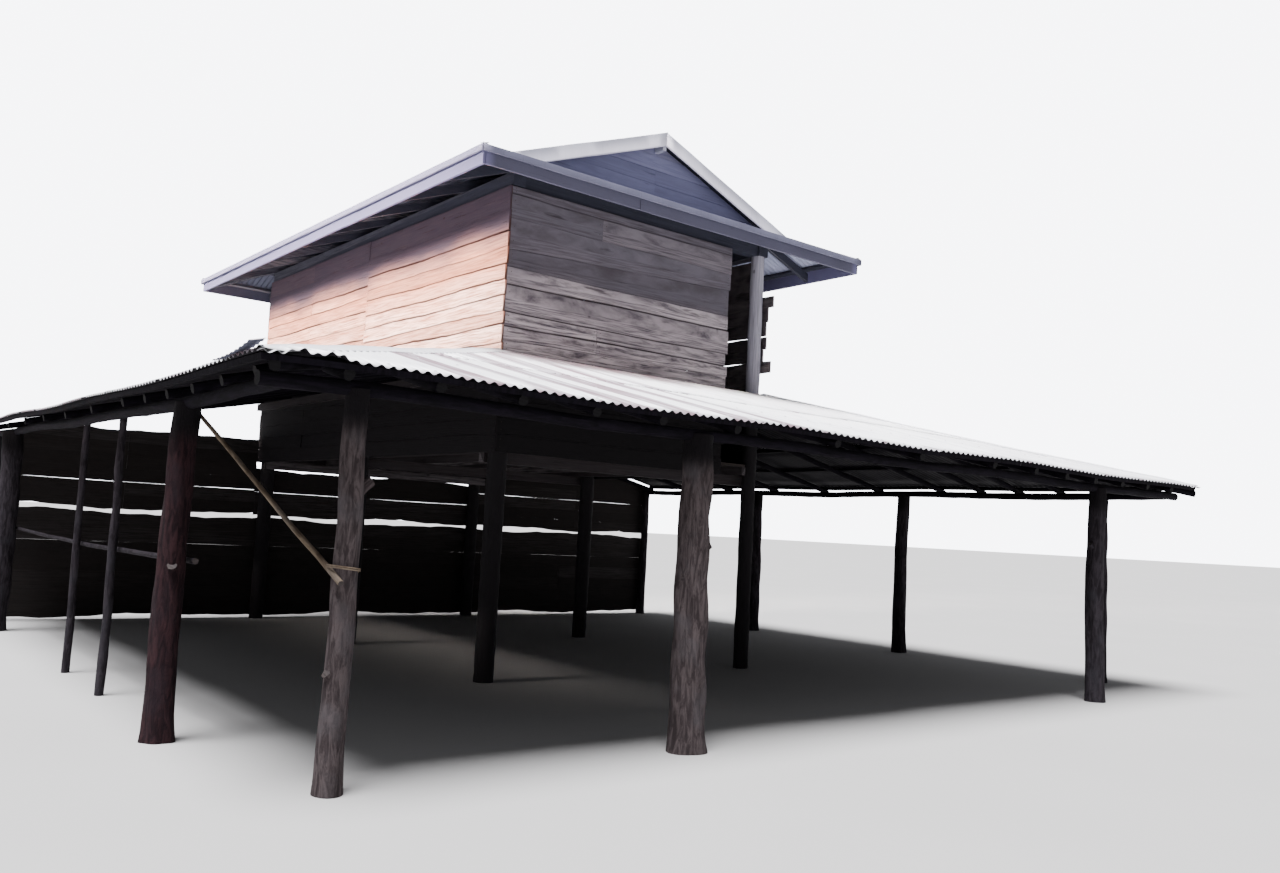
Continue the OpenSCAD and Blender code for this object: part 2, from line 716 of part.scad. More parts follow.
module left_field() {
    sheeting(-granary_l - eave_out - wave_pitch, eave_out + wave_pitch, 0, upper_slope);
}
module upper_roof_left() {
    color("lightsteelblue") {
        over(eave_course(mitre)) upper_left() left_field();
        over(main_course()) upper_left() left_field();
    }
}
module right_field() {
    sheeting(-eave_out - wave_pitch, granary_l + eave_out + wave_pitch, 0, upper_slope);
}
module upper_roof_right() {
    color("lightsteelblue") {
        over(mirrored(eave_course(mitre))) upper_right() right_field();
        over(mirrored(main_course())) upper_right() right_field();
    }
}
module skirt_roofs() {
    run = eave_out / cos(upper_pitch);
    color("lightsteelblue") {
        over(skirt_plan(mitre, seat)) upper_front()
            sheeting(-eave_out - wave_pitch, granary_w + eave_out + wave_pitch, 0, run);
        over(turned(skirt_plan(mitre, seat))) upper_back()
            sheeting(-granary_w - eave_out - wave_pitch, eave_out + wave_pitch, 0, run);
    }
}

// Fascia boards hang behind the edge of the sheet
fascia_top = eave_z + sheet_inset * tan(upper_pitch) - (wave_h + seat) / cos(upper_pitch);
module fascias() {
    inner = fascia_face - fascia_t - seat;
    color("thistle") {
        for (x = [-fascia_face, granary_w + fascia_face - fascia_t])
            translate([x, -fascia_face, fascia_top - fascia_h])
                cube([fascia_t, granary_l + 2 * fascia_face, fascia_h]);
        for (y = [-fascia_face, granary_l + fascia_face - fascia_t])
            translate([-inner, y, fascia_top - fascia_h]) cube([granary_w + 2 * inner, fascia_t, fascia_h]);
    }
}

gable_gap = 4;
gable_low = skirt_top_z + gable_gap;
gable_slack = (rafter_top + seat) / cos(upper_pitch);
function gable_x(z) = (z - eave_z + gable_slack) / tan(upper_pitch) - eave_out;
module gable(y) {
    translate([0, y + fascia_t, 0]) rotate([90, 0, 0]) linear_extrude(height = fascia_t - seat)
        difference() {
            polygon([
                [gable_x(gable_low), gable_low], [granary_w - gable_x(gable_low), gable_low],
                [granary_w / 2, ridge_z - gable_slack]
            ]);
            translate([(granary_w - ridge_w) / 2 - seat, ridge_beam_low - seat])
                square([ridge_w + 2 * seat, far]);
        }
}
module gable_walls() {
    color("dimgray") {
        gable(-seat);
        gable(granary_l - fascia_t + seat * 2);
    }
}

// A folded strip along both verges of one end, kept clear of the skirt below it
module verge_pair() {
    face = verge_out + seat;
    field = [[verge_x + 2 * flashing_w / 5, -face - flashing_t], [granary_w / 2, -face - flashing_t],
        [granary_w / 2, granary_l / 2], [verge_x + 2 * flashing_w / 5, granary_l / 2]];
    module strip() {
        translate([face - flashing_w, 0, seat]) cube([flashing_w + flashing_t, far, flashing_t]);
        translate([face, 0, -verge_drop]) cube([flashing_t, far, verge_drop + seat + flashing_t]);
    }
    difference() {
        union() {
            over(field) upper_left() strip();
            over(mirrored(field)) upper_right() mirror([1, 0, 0]) strip();
        }
        upper_front() translate([-far, -far, -far]) cube([2 * far, 2 * far, far + seat]);
    }
}
module verge_flashings() {
    color("lavender") {
        verge_pair();
        translate([granary_w, granary_l, 0]) rotate([0, 0, 180]) verge_pair();
    }
}
module ridge_flashing() {
    lift = (flashing_t + 2 * seat) / cos(upper_pitch);
    end = verge_out + seat + flashing_t;
    field = [[granary_w / 2 - flashing_w, -end], [granary_w / 2, -end], [granary_w / 2, granary_l + end],
        [granary_w / 2 - flashing_w, granary_l + end]];
    color("lavender") union() {
        over(field) upper_left() plate(lift);
        over(mirrored(field)) upper_right() plate(lift);
    }
}
module upper_hip_flashings() {
    w = flashing_w * 0.8 * sqrt(2);
    stop = verge_x - flashing_w / 5;
    module corner_piece() {
        union() {
            over([[-eave_out, -eave_out], [-eave_out + w, -eave_out], [stop + w, stop], [stop, stop]])
                upper_front() plate(seat);
            over([[-eave_out, -eave_out], [stop, stop], [stop, stop + w], [-eave_out, -eave_out + w]])
                upper_left() plate(seat);
        }
    }
    color("lavender") {
        corner_piece();
        translate([granary_w, 0, 0]) mirror([1, 0, 0]) corner_piece();
        translate([0, granary_l, 0]) mirror([0, 1, 0]) corner_piece();
        translate([granary_w, granary_l, 0]) rotate([0, 0, 180]) corner_piece();
    }
}

// Screen across the back, and the poles on the left

// Height under the purlins of a lean-to slope, at a distance in from its eave
function under_purlins(inward, pitch) = lean_eave_z + inward * tan(pitch) - (rafter_top + 1) / cos(pitch);
function inward_of(z, pitch) = (z - lean_eave_z + (rafter_top + 1) / cos(pitch)) / tan(pitch);

module screen_panel(outline) {
    translate([0, screen_y + screen_t, 0]) rotate([90, 0, 0]) linear_extrude(height = screen_t)
        polygon(outline);
}
screen_slack = 5;
module back_screen() {
    upper = screen_gap_z + screen_gap;
    left_end = left_beam_x - screen_end;
    right_end = right_beam_x + screen_end;
    in_left = post_inset - screen_end;
    color("dimgray") {
        translate([left_end, screen_y, screen_foot])
            cube([right_end - left_end, screen_t, screen_gap_z - screen_foot]);
        screen_panel([
            [left_end, upper], [-screen_slack, upper], [-screen_slack, screen_top],
            [-left_lean + inward_of(screen_top, left_pitch), screen_top],
            [left_end, under_purlins(in_left, left_pitch)]
        ]);
        translate([0, screen_y, upper]) cube([granary_w, screen_t, floor_beam_low - upper]);
        screen_panel([
            [right_end, upper], [granary_w + screen_slack, upper], [granary_w + screen_slack, screen_top],
            [granary_w + right_lean - inward_of(screen_top, right_pitch), screen_top],
            [right_end, under_purlins(in_left, right_pitch)]
        ]);
    }
}

rail_past = 80;
module left_fence() {
    color("gray") {
        for (y = prop_ys)
            difference() {
                translate([prop_x, y, 0]) cylinder(r1 = prop_r, r2 = prop_r - thin_taper, h = left_beam_z);
                translate([left_beam_x, y, left_beam_z]) rotate([90, 0, 0])
                    cylinder(d = beam_d + 2 * seat, h = 4 * prop_r, center = true);
            }
        translate([rail_x, -left_front_y - rail_past, rail_z]) rotate([-90, 0, 0])
            cylinder(r = rail_r, h = granary_l - left_back_y + left_front_y + 2 * rail_past);
    }
}

// The brace lies against the outer side of the front left post and the inner side of the left front
// one. Its ends reach a little past both.
brace_past = 120;
module brace_pole() {
    from = [-front_left_x, front_beam_y];
    to = [left_beam_x, -left_front_y];
    apart = norm(to - from);
    top_z = left_beam_z - beam_d;
    bearing = atan2(to[1] - from[1], to[0] - from[0]);
    side = bearing + 90 - asin(2 * log_r / apart);
    r_from = log_reach(brace_z, front_beam_z, front_left_r, front_left_r - log_taper,
        front_left_turn, side) + brace_r + 2 * seat;
    r_to = log_reach(top_z, left_beam_z, log_r, log_r - log_taper,
        left_front_turn, side + 180) + brace_r + 2 * seat;
    heading = bearing - asin((r_from + r_to) / apart);
    run = sqrt(apart * apart - pow(r_from + r_to, 2));
    climb = atan((top_z - brace_z) / run);
    color("tan")
        translate([from[0] - r_from * sin(heading), from[1] + r_from * cos(heading), brace_z])
            rotate([0, 0, heading]) rotate([0, 90 - climb, 0]) translate([0, 0, -brace_past])
                cylinder(r = brace_r, h = run / cos(climb) + 2 * brace_past, $fn = 16);
}

place() {
    post_front_left();
    post_front_middle();
    post_front_right();
    post_left_front();
    posts_left_back();
    posts_right();
    granary_posts();
    eave_beam_front();
    side_eave_beams();
    rafter_ledgers();
    hip_rafters();
    front_rafters();
    left_rafters();
    right_rafters();
    lean_purlins();
    front_lean_roof();
    left_lean_roof();
    right_lean_roof();
    lean_hip_flashings();
    floor_beams();
    floor_joists();
    floor_boards();
    left_wall();
    right_wall();
    front_wall();
    back_wall();
    door_stud();
    wall_plates();
    tie_beams();
    king_posts();
    ridge_beam();
    upper_rafters();
    skirt_rafters();
    upper_purlins();
    upper_roof_left();
    upper_roof_right();
    skirt_roofs();
    fascias();
    gable_walls();
    verge_flashings();
    ridge_flashing();
    upper_hip_flashings();
    back_screen();
    left_fence();
    brace_pole();
}
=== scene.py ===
"""A granary of boards on posts with an open lean-to round it, dressed on its CAD frame."""
from math import ceil, cos, hypot, radians, sin, tan

import bmesh
import bpy
import numpy as np
from mathutils import Matrix, Vector


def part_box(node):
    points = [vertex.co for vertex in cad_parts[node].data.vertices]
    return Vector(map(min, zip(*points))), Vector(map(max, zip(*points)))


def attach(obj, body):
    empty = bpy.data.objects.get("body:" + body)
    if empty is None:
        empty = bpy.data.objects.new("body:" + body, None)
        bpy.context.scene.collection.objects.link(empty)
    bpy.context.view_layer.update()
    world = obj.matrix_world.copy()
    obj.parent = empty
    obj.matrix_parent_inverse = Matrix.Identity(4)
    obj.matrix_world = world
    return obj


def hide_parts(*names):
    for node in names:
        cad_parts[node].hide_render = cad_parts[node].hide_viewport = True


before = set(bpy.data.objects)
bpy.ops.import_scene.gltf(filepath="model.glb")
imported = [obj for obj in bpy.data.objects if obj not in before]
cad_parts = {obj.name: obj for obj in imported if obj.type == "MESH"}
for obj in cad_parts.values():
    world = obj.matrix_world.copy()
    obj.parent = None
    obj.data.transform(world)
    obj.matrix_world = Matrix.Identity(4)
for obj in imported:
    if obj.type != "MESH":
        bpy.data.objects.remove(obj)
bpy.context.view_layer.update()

# Sizes in metres, from the granary's front left corner at ground level
CORNER = np.array((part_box("left_wall")[0].x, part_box("left_wall")[0].y, 0.0))
WIDTH, LENGTH = 3.80, 6.80
JOIST_TOP, BEAM_LOW = 2.42, 2.20
WALL_LOW, WALL_TOP, WALL_T = 2.30, 5.045, 0.03
BOARDS_END = 3.13
POST_ROWS, HEWN = (0.13, 3.40, 6.67), 0.20
EAVE, EAVE_OUT, VERGE_OUT = 5.05, 0.80, 0.17
UPPER_PITCH = radians(20.9)
UPPER_TAN = tan(UPPER_PITCH)
UPPER_RUN = WIDTH / 2 + EAVE_OUT
RIDGE = EAVE + UPPER_RUN * UPPER_TAN
FASCIA_FACE, FASCIA_T, FASCIA_H = 0.77, 0.025, 0.16
FRONT_OUT, LEFT_OUT, RIGHT_OUT = 3.50, 3.60, 3.95
LEAN_EAVE, LEAN_TOP = 2.45, 3.33
BEAM_R, RAFTER_R, RAFTER_TOP = 0.045, 0.04, 0.06
PURLINS, PURLIN_W, PURLIN_H = 5, 0.06, 0.04
INSET = 0.25
SCREEN_Y, SCREEN_T = 6.77, 0.025
BOARD_T, THIN_BOARD_T = 0.026, 0.024
PLANK_T, PLANK_GAP, PLANK_EDGE = 0.030, 0.006, 0.003
WALL_NAIL, ROOF_NAIL = 0.005, 0.011
THICK_BEAM_R, THIN_BEAM_R = 0.046, 0.043
FRONT_LEFT_X, BACK_POSTS_Y = -2.91, 6.695
BAY_POST_R, BAY_POST_INSET = 0.088, 0.083
HIP_CLEAR, HIP_PITCH = 0.12, radians(14.1)

# Depths below the sheets' top: a fascia's and a batten's, and the cut edges of gables and screen
FASCIA_DROP, BATTEN_DROP, GABLE_DROP, SCREEN_DROP = 0.0203, 0.0205, 0.068, 0.063

# Corrugated sheet
WAVE, WAVE_DEPTH, SHEET_T = 0.076, 0.019, 0.0012
SHEET_WAVES, SIDE_LAP, END_LAP = 10, 0.6, 0.12

# Distances between the points of meshes along a strip, a board, a pole and a batten
STRIP_STEP, BOARD_STEP, POLE_STEP, BAR_STEP = 0.12, 0.11, 0.14, 0.25

X, Y, Z = np.eye(3)


def rng(seed):
    return np.random.default_rng(seed)


def unit(v):
    return v / np.linalg.norm(v, axis=-1, keepdims=True)


def ripple(t, seed, period, size, waves=4):
    """Smooth uneven waves along t, with the given longest period and height."""
    dice = rng(seed)
    total = np.zeros_like(np.asarray(t, float))
    for k in range(waves):
        total += np.sin(2 * np.pi * t * (1 + k * 0.83) / period + dice.uniform(0, 7)) / (1 + k)
    return total * size / 1.6


def circle(count):
    """That many angles, evenly round a circle."""
    return np.linspace(0, 2 * np.pi, count + 1)[:-1]


def uv_map(u, v):
    """A grid of UV places, with u along its rows and v along its columns."""
    return np.stack(np.meshgrid(u, v, indexing="ij"), axis=-1)


def distances(path):
    """How far along a path each of its points lies."""
    return np.concatenate([[0], np.cumsum(np.linalg.norm(np.diff(path, axis=0), axis=1))])


class Plane:
    """A wall or the slope of a roof: x runs along it, y up it and z out of it."""

    def __init__(self, origin, along, up, out):
        self.origin, self.along, self.up, self.out = (
            np.array(v, float) for v in (origin, along, up, out))

    def at(self, x, y, z):
        x, y, z = (n[..., None] for n in np.broadcast_arrays(x, y, z))
        return self.origin + x * self.along + y * self.up + z * self.out


def eave(side, out, height):
    """A point on the eave at one side of the granary, and the ways along it and inward."""
    return {"front": ((0, -out, height), X, Y), "left": ((-out, 0, height), -Y, X),
            "right": ((WIDTH + out, 0, height), Y, -X),
            "back": ((0, LENGTH + out, height), -X, -Y)}[side]


def face(side, out=0.0):
    """The upright plane at one side of the granary, or one that lies out from it."""
    origin, along, inward = eave(side, out, 0.0)
    return Plane(origin, np.abs(along), Z, -inward)


def slope(side, out, height, run, rise):
    """The slope that rises inward from the eave at one side, on top of its sheets."""
    origin, along, inward = eave(side, out, height)
    length = hypot(run, rise)
    up = (inward * run + Z * rise) / length
    made = Plane(origin, along, up, np.cross(along, up))
    made.length, made.inward = length, inward
    return made


LEAN_OUT = {"front": FRONT_OUT, "left": LEFT_OUT, "right": RIGHT_OUT}
LEAN = {side: slope(side, out, LEAN_EAVE, out, LEAN_TOP - LEAN_EAVE) for side, out in LEAN_OUT.items()}
UPPER = {side: slope(side, EAVE_OUT, EAVE, run, run * UPPER_TAN)
         for side, run in (("front", EAVE_OUT), ("left", UPPER_RUN), ("right", UPPER_RUN),
                           ("back", EAVE_OUT))}

# Where slopes start and stop, measured along them: the lean-to's, and the granary's own ends
LEAN_SPAN = {"front": (-LEFT_OUT, WIDTH + RIGHT_OUT), "left": (-LENGTH, FRONT_OUT),
             "right": (-FRONT_OUT, LENGTH)}
ENDS = {"front": (0.0, WIDTH), "back": (-WIDTH, 0.0), "left": (-LENGTH, 0.0), "right": (0.0, LENGTH)}

# The granary's corners, as x and the way in along x, then y and the way in along y
CORNERS = [(x, dx, y, dy) for x, dx in ((0.0, 1), (WIDTH, -1)) for y, dy in ((0.0, 1), (LENGTH, -1))]

# Hips by side, each a foot and a head
LEFT_HIP = ((-LEFT_OUT, -FRONT_OUT, 0), (0, 0, 0))
RIGHT_HIP = ((WIDTH + RIGHT_OUT, -FRONT_OUT, 0), (WIDTH, 0, 0))
LEAN_HIPS = {"front": [LEFT_HIP, RIGHT_HIP], "left": [LEFT_HIP], "right": [RIGHT_HIP]}
UPPER_HIPS = {side: [((x - dx * EAVE_OUT, y - dy * EAVE_OUT, 0), (x, y, 0)) for x, dx, y, dy in corners]
              for side, corners in (("left", CORNERS[:2]), ("right", CORNERS[2:]),
                                    ("front", CORNERS[::2]), ("back", CORNERS[1::2]))}


def hip_planes(side, hips):
    """The upright planes through hips that keep what lies on their side of the granary."""
    far_out = np.array((WIDTH / 2, LENGTH / 2, 0)) - 10 * eave(side, 0, 0)[2]
    planes = []
    for foot, head in hips:
        outward = unit(np.cross(np.subtract(head, foot), Z))
        planes.append((foot, -outward if np.dot(far_out - foot, outward) > 0 else outward))
    return planes


def under(roof, drop):
    """The planes of a roof's left and right slopes, lowered by drop."""
    return [(roof[side].origin - Z * drop, roof[side].out) for side in ("left", "right")]


def settle(points):
    """The lean-to has sunk a little between its posts and stands higher at its far left corner."""
    x, y = points[..., 0], points[..., 1]
    out = np.clip(np.maximum.reduce([-x / LEFT_OUT, -y / FRONT_OUT, (x - WIDTH) / RIGHT_OUT]), 0, 1)
    lift = 0.09 * np.clip(-x / LEFT_OUT, 0, 1) * np.clip(y / LENGTH, 0, 1)
    sag = 0.010 * np.sin(x * 1.9 + 0.4) + 0.010 * np.sin(y * 1.7 + 1.0) - 0.004
    moved = points.copy()
    moved[..., 2] += lift + out * sag
    return moved


class Shape:
    """Gathers grids of points into one mesh, with a UV map in metres and a tint on each point."""

    def __init__(self):
        self.points, self.faces, self.uvs, self.tints, self.slots = [], [], [], [], []
        self.count = 0

    def grid(self, points, uvs, tint, ring=False):
        """Faces over rows and columns of points, with one tint for all or one for each. A ring joins
        the last column to the first, and then uvs has one column more than points."""
        rows, cols = points.shape[:2]
        index = np.arange(rows * cols).reshape(rows, cols) + self.count
        if ring:
            index = np.column_stack([index, index[:, 0]])
        high, wide = index.shape[0] - 1, index.shape[1] - 1
        corners = [np.s_[i:i + high, j:j + wide] for i, j in ((0, 0), (0, 1), (1, 1), (1, 0))]
        self.faces.extend(np.stack([index[c] for c in corners], axis=-1).reshape(-1, 4).tolist())
        self.uvs.append(np.stack([uvs[c] for c in corners], axis=-2).reshape(-1, 2))
        self.slots.extend([0] * (high * wide))
        tints = np.ones((rows * cols, 4))
        tints[:, :3] = np.broadcast_to(tint, points.shape).reshape(-1, 3)
        self.points.append(points.reshape(-1, 3))
        self.tints.append(tints)
        self.count += rows * cols
        return index

    def tube(self, rings, uvs, tint, end_slot=0):
        """A closed solid through rings of points, whose two ends have the material of end_slot."""
        index = self.grid(rings, uvs, tint, ring=True)[:, :-1]
        for loop, points in ((index[0, ::-1], rings[0][::-1]), (index[-1], rings[-1])):
            arms = points - points[0]
            across = unit(arms[len(arms) // 3])
            other = unit(np.cross(np.cross(arms[len(arms) // 2], across), across))
            self.faces.append(loop.tolist())
            self.uvs.append(np.column_stack([arms @ across, arms @ other]))
            self.slots.append(end_slot)

    def mesh(self, name):
        mesh = bpy.data.meshes.new(name)
        mesh.from_pydata((np.concatenate(self.points) + CORNER).tolist(), [], self.faces)
        mesh.uv_layers.new(name="UVMap").data.foreach_set("uv", np.concatenate(self.uvs).ravel())
        tint = mesh.color_attributes.new("tint", "FLOAT_COLOR", "POINT")
        tint.data.foreach_set("color", np.concatenate(self.tints).ravel())
        mesh.polygons.foreach_set("material_index", self.slots)
        mesh.polygons.foreach_set("use_smooth", [True] * len(self.faces))
        mesh.update()
        return mesh


def cut(mesh, planes):
    """Cuts away what lies beyond each plane, given as a point and the way out."""
    shape = bmesh.new()
    shape.from_mesh(mesh)
    for point, outward in planes:
        bmesh.ops.bisect_plane(
            shape, geom=shape.verts[:] + shape.edges[:] + shape.faces[:], dist=1e-5,
            plane_co=Vector(CORNER + point), plane_no=Vector(outward), clear_outer=True)
    shape.to_mesh(mesh)
    shape.free()


def link(obj):
    bpy.context.scene.collection.objects.link(obj)


def piece(name, shape, materials, slot, replaces=(), planes=(), crease=30, sunk=False):
    """Turns a shape into an object that rides on the frame and stands for CAD nodes."""
    mesh = shape.mesh(name)
    if planes:
        cut(mesh, planes)
    if sunk:
        co = np.zeros(len(mesh.vertices) * 3)
        mesh.vertices.foreach_get("co", co)
        mesh.vertices.foreach_set("co", (settle(co.reshape(-1, 3) - CORNER) + CORNER).ravel())
    for material in materials:
        mesh.materials.append(MAT[material])
    mesh.set_sharp_from_angle(angle=radians(crease))
    obj = bpy.data.objects.new(name, mesh)
    link(obj)
    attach(obj, "root")
    if replaces:
        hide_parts(*replaces)
    return obj


def metal(name, shape, materials, slot, replaces=(), thickness=SHEET_T, **looks):
    """A piece of sheet metal, with the second material on its lower face."""
    solid = piece(name, shape, materials, slot, replaces, **looks).modifiers.new("sheet", "SOLIDIFY")
    solid.thickness, solid.offset, solid.material_offset = thickness, -1.0, 1


# Materials

class Paint:
    """A material's node tree, with short calls for the nodes that it needs."""

    def __init__(self, name, roughness, specular, metallic=0.0):
        self.material = bpy.data.materials.new(name)
        self.material.use_nodes = True
        self.tree = self.material.node_tree
        self.shader = self.tree.nodes["Principled BSDF"].inputs
        self.feed(self.shader["Roughness"], roughness)
        self.feed(self.shader["Specular IOR Level"], specular)
        self.feed(self.shader["Metallic"], metallic)

    def feed(self, socket, value):
        """Links a socket or sets it, and colours get their fourth number here."""
        if isinstance(value, bpy.types.NodeSocket):
            self.tree.links.new(value, socket)
        else:
            socket.default_value = (*value, 1.0) if socket.type == "RGBA" else value

    def node(self, kind, **inputs):
        made = self.tree.nodes.new("ShaderNode" + kind)
        for key, value in inputs.items():
            self.feed(made.inputs[key.replace("_", " ")], value)
        return made

    def math(self, operation, a, b):
        made = self.node("Math")
        made.operation = operation
        self.feed(made.inputs[0], a)
        self.feed(made.inputs[1], b)
        return made.outputs[0]

    def times(self, a, b):
        return self.math("MULTIPLY", a, b)

    def plus(self, a, b):
        return self.math("ADD", a, b)

    def minus(self, a, b):
        return self.math("SUBTRACT", a, b)

    def mix(self, amount, a, b, blend="MIX"):
        made = self.node("Mix")
        made.data_type, made.blend_type = "RGBA", blend
        for index, value in ((0, amount), (6, a), (7, b)):
            self.feed(made.inputs[index], value)
        return made.outputs[2]

    def over(self, tone, colour, where, strength):
        """The tone with a colour laid over it where a mask says, up to the given strength."""
        return self.mix(self.times(where, strength), tone, colour)

    def ramp(self, value, low, high):
        """0 below low, 1 above high."""
        made = self.node("MapRange", Value=value, From_Min=low, From_Max=high)
        made.interpolation_type = "SMOOTHSTEP"
        return made.outputs["Result"]

    def place(self, source, scale):
        """Coordinates from the UV map or the object, in metres, times scale."""
        where = self.node("TexCoord").outputs[source]
        return self.node("Mapping", Vector=where, Scale=scale).outputs["Vector"]

    def noise(self, source, stretch, scale, detail, roughness=0.55, distortion=0.0):
        return self.node("TexNoise", Vector=self.place(source, stretch), Scale=scale, Detail=detail,
                         Roughness=roughness, Distortion=distortion).outputs["Fac"]

    def cells(self, source, stretch):
        return self.node("TexVoronoi", Vector=self.place(source, stretch), Scale=1.0).outputs

    def parts(self, colour):
        return self.node("SeparateColor", Color=colour).outputs[:3]

    def knots(self, source, across):
        """Knots a little longer along the grain, in about one cell in six."""
        cells = self.cells(source, tuple(5.5 if s > 1 else 3.2 for s in across))
        return self.times(self.ramp(cells["Distance"], 0.11, 0.05),
                          self.ramp(self.parts(cells["Color"])[0], 0.82, 0.86))

    def tint(self):
        """The tint's red, which is random, its green, for age or weather and for painted light and
        shade, and its blue, for the stains and painted shade at the edges of boards and the grime and
        painted shade in the troughs and laps of zinc."""
        made = self.node("VertexColor")
        made.layer_name = "tint"
        return self.parts(made.outputs["Color"])

    def done(self, tone, height=None, relief=0.0):
        """The material, with its colour, and its surface raised by up to relief."""
        self.feed(self.shader["Base Color"], tone)
        if height is not None:
            bump = self.node("Bump", Height=height, Distance=relief, Strength=1.0)
            self.feed(self.shader["Normal"], bump.outputs["Normal"])
        return self.material


# Near black: painted shade below the lean-to roof and at the tops of the posts
SHADE_BLACK = (0.006, 0.005, 0.006)
# Dark grey for grime and painted shade in the zinc's troughs and laps
GRIME_AND_SHADE = (0.10, 0.095, 0.105)


def wood(name, pale, mid, dark, grey, axis="UV", relief=0.004, greying=0.5,
         shade_and_smudge=(0.012, 0.009, 0.011), bleach_and_light=(0.46, 0.42, 0.44)):
    """Weathered wood: long grain, splits, knots, grey patches and a tone for each board. The tint's
    green is 1 where it is bleached pale, which low on the walls is also painted light, 0.5 where it
    is plain, 0 where it takes a painted shade and -1 where it is painted black for shade. Its blue
    darkens the edges of boards: stains and painted shade. With an axis the grain runs along it, on
    the solids of a CAD node."""
    paint = Paint(name, 0.85, 0.2)
    across = {"UV": (1, 22, 22), "X": (1, 22, 22), "Y": (22, 1, 22), "Z": (22, 22, 1)}[axis]
    if axis == "UV":
        source, (shade, weather, stain_and_shade) = "UV", paint.tint()
    else:
        source, shade = "Object", paint.node("NewGeometry").outputs["Random Per Island"]
        weather, stain_and_shade = 0.5, 0.0
    grain = paint.noise(source, across, 2.4, 8.0, 0.62, 0.35)
    broad = paint.noise(source, tuple(0.28 * s + 0.15 for s in across), 1.5, 5.0)
    split = paint.noise(source, tuple(s * 1.6 if s > 1 else 0.7 for s in across), 2.0, 3.0)
    crack = paint.ramp(split, 0.63, 0.70)
    tone = paint.mix(paint.ramp(grain, 0.30, 0.72), mid, pale)
    tone = paint.over(tone, grey, paint.ramp(broad, 0.42, 0.75), greying)
    tone = paint.over(tone, paint.mix(0.5, tone, dark), paint.ramp(shade, 0.25, 1.0), 0.62)
    # Paler where weather is high: bleaching, and painted light low on the walls
    bared = paint.ramp(paint.plus(weather, paint.times(paint.minus(0.5, shade), 0.4)), 0.5, 1.0)
    patchy = paint.plus(0.50, paint.times(paint.ramp(broad, 0.35, 0.6), 0.50))
    bleached_and_lit = paint.mix(paint.ramp(grain, 0.62, 0.30), bleach_and_light, mid)
    tone = paint.mix(paint.times(bared, patchy), tone, bleached_and_lit)
    # Low weather takes a dark tone: painted shade under the upper eaves
    tone = paint.over(tone, shade_and_smudge, paint.ramp(weather, 0.5, 0.0), 0.93)
    tone = paint.over(tone, dark, crack, 0.6)
    tone = paint.over(tone, dark, paint.knots(source, across), 0.6)
    # Darker board edges: stains, and painted shade at the seams
    edge = paint.ramp(paint.plus(stain_and_shade, paint.times(broad, 0.7)), 0.85, 1.25)
    tone = paint.over(tone, dark, edge, 0.85)
    # Weather below 0 goes black: painted shade below the lean-to roof
    tone = paint.over(tone, SHADE_BLACK, paint.ramp(weather, 0.0, -1.0), 0.95)
    return paint.done(tone, paint.minus(grain, paint.times(crack, 1.4)), relief)


def bark(name, pale, dark, moss, relief=0.012):
    """Rough bark with long furrows and lichen, painted black for shade where the tint's green is below
    0.4.
    """
    paint = Paint(name, 0.95, 0.1)
    furrow = paint.noise("UV", (14, 2.6, 1), 2.2, 8.0, 0.65, 0.8)
    patch = paint.noise("UV", (3, 2, 1), 1.6, 5.0)
    fine = paint.noise("UV", (60, 25, 1), 2.0, 5.0)
    tone = paint.mix(paint.ramp(furrow, 0.38, 0.64), dark, pale)
    tone = paint.over(tone, moss, paint.ramp(patch, 0.48, 0.72), 0.7)
    tone = paint.over(tone, dark, paint.ramp(fine, 0.5, 0.8), 0.35)
    tone = paint.mix(paint.ramp(paint.tint()[1], 0.4, -0.8), tone, SHADE_BLACK)
    return paint.done(tone, paint.plus(furrow, paint.times(fine, 0.25)), relief)


def zinc(name, bright, dull, rust, roughness, metallic):
    """Old zinc sheet: faint spangle, rain streaks down the slope, rust where the tint's green asks, and
    grime with painted shade where its blue does, in the troughs and along the laps."""
    paint = Paint(name, roughness, 0.4, metallic)
    random, aged, trough = paint.tint()
    streak = paint.noise("UV", (7.0, 0.35, 1), 2.0, 6.0, 0.6, 0.4)
    blotch = paint.noise("UV", (1.6, 1.1, 1), 1.8, 6.0, 0.6)
    tone = paint.mix(paint.ramp(blotch, 0.45, 0.85), bright, dull)
    tone = paint.mix(0.05, tone, paint.cells("UV", (60, 60, 1))["Color"], "MULTIPLY")
    tone = paint.over(tone, dull, random, 0.45)
    # Darker in the troughs and along the laps: grime and painted shade
    grime_and_shade = paint.times(paint.ramp(trough, 0.50, 1.0), paint.ramp(blotch, 0.0, 0.6))
    tone = paint.over(tone, GRIME_AND_SHADE, grime_and_shade, 0.8)
    mark = paint.plus(paint.times(streak, 0.55), paint.times(blotch, 0.2))
    rusted = paint.ramp(paint.plus(mark, paint.times(aged, 0.8)), 0.66, 0.95)
    tone = paint.mix(rusted, tone, paint.mix(paint.ramp(streak, 0.4, 0.7), rust, dull))
    paint.feed(paint.shader["Roughness"], paint.plus(paint.times(blotch, 0.25), roughness))
    return paint.done(tone, paint.plus(blotch, paint.times(rusted, 0.2)), 0.003)


def underside_shade_and_glare(name, base, light):
    """The underside of a sheet, two tones in smudges: painted shade under most roofs and painted glare
    under the right upper eave.
    """
    paint = Paint(name, 0.75, 0.2, 0.1)
    shade_and_smudge = paint.noise("UV", (2.4, 0.8, 1), 1.7, 6.0, 0.6, 0.3)
    return paint.done(paint.mix(paint.ramp(shade_and_smudge, 0.45, 0.8), base, light), shade_and_smudge, 0.002)


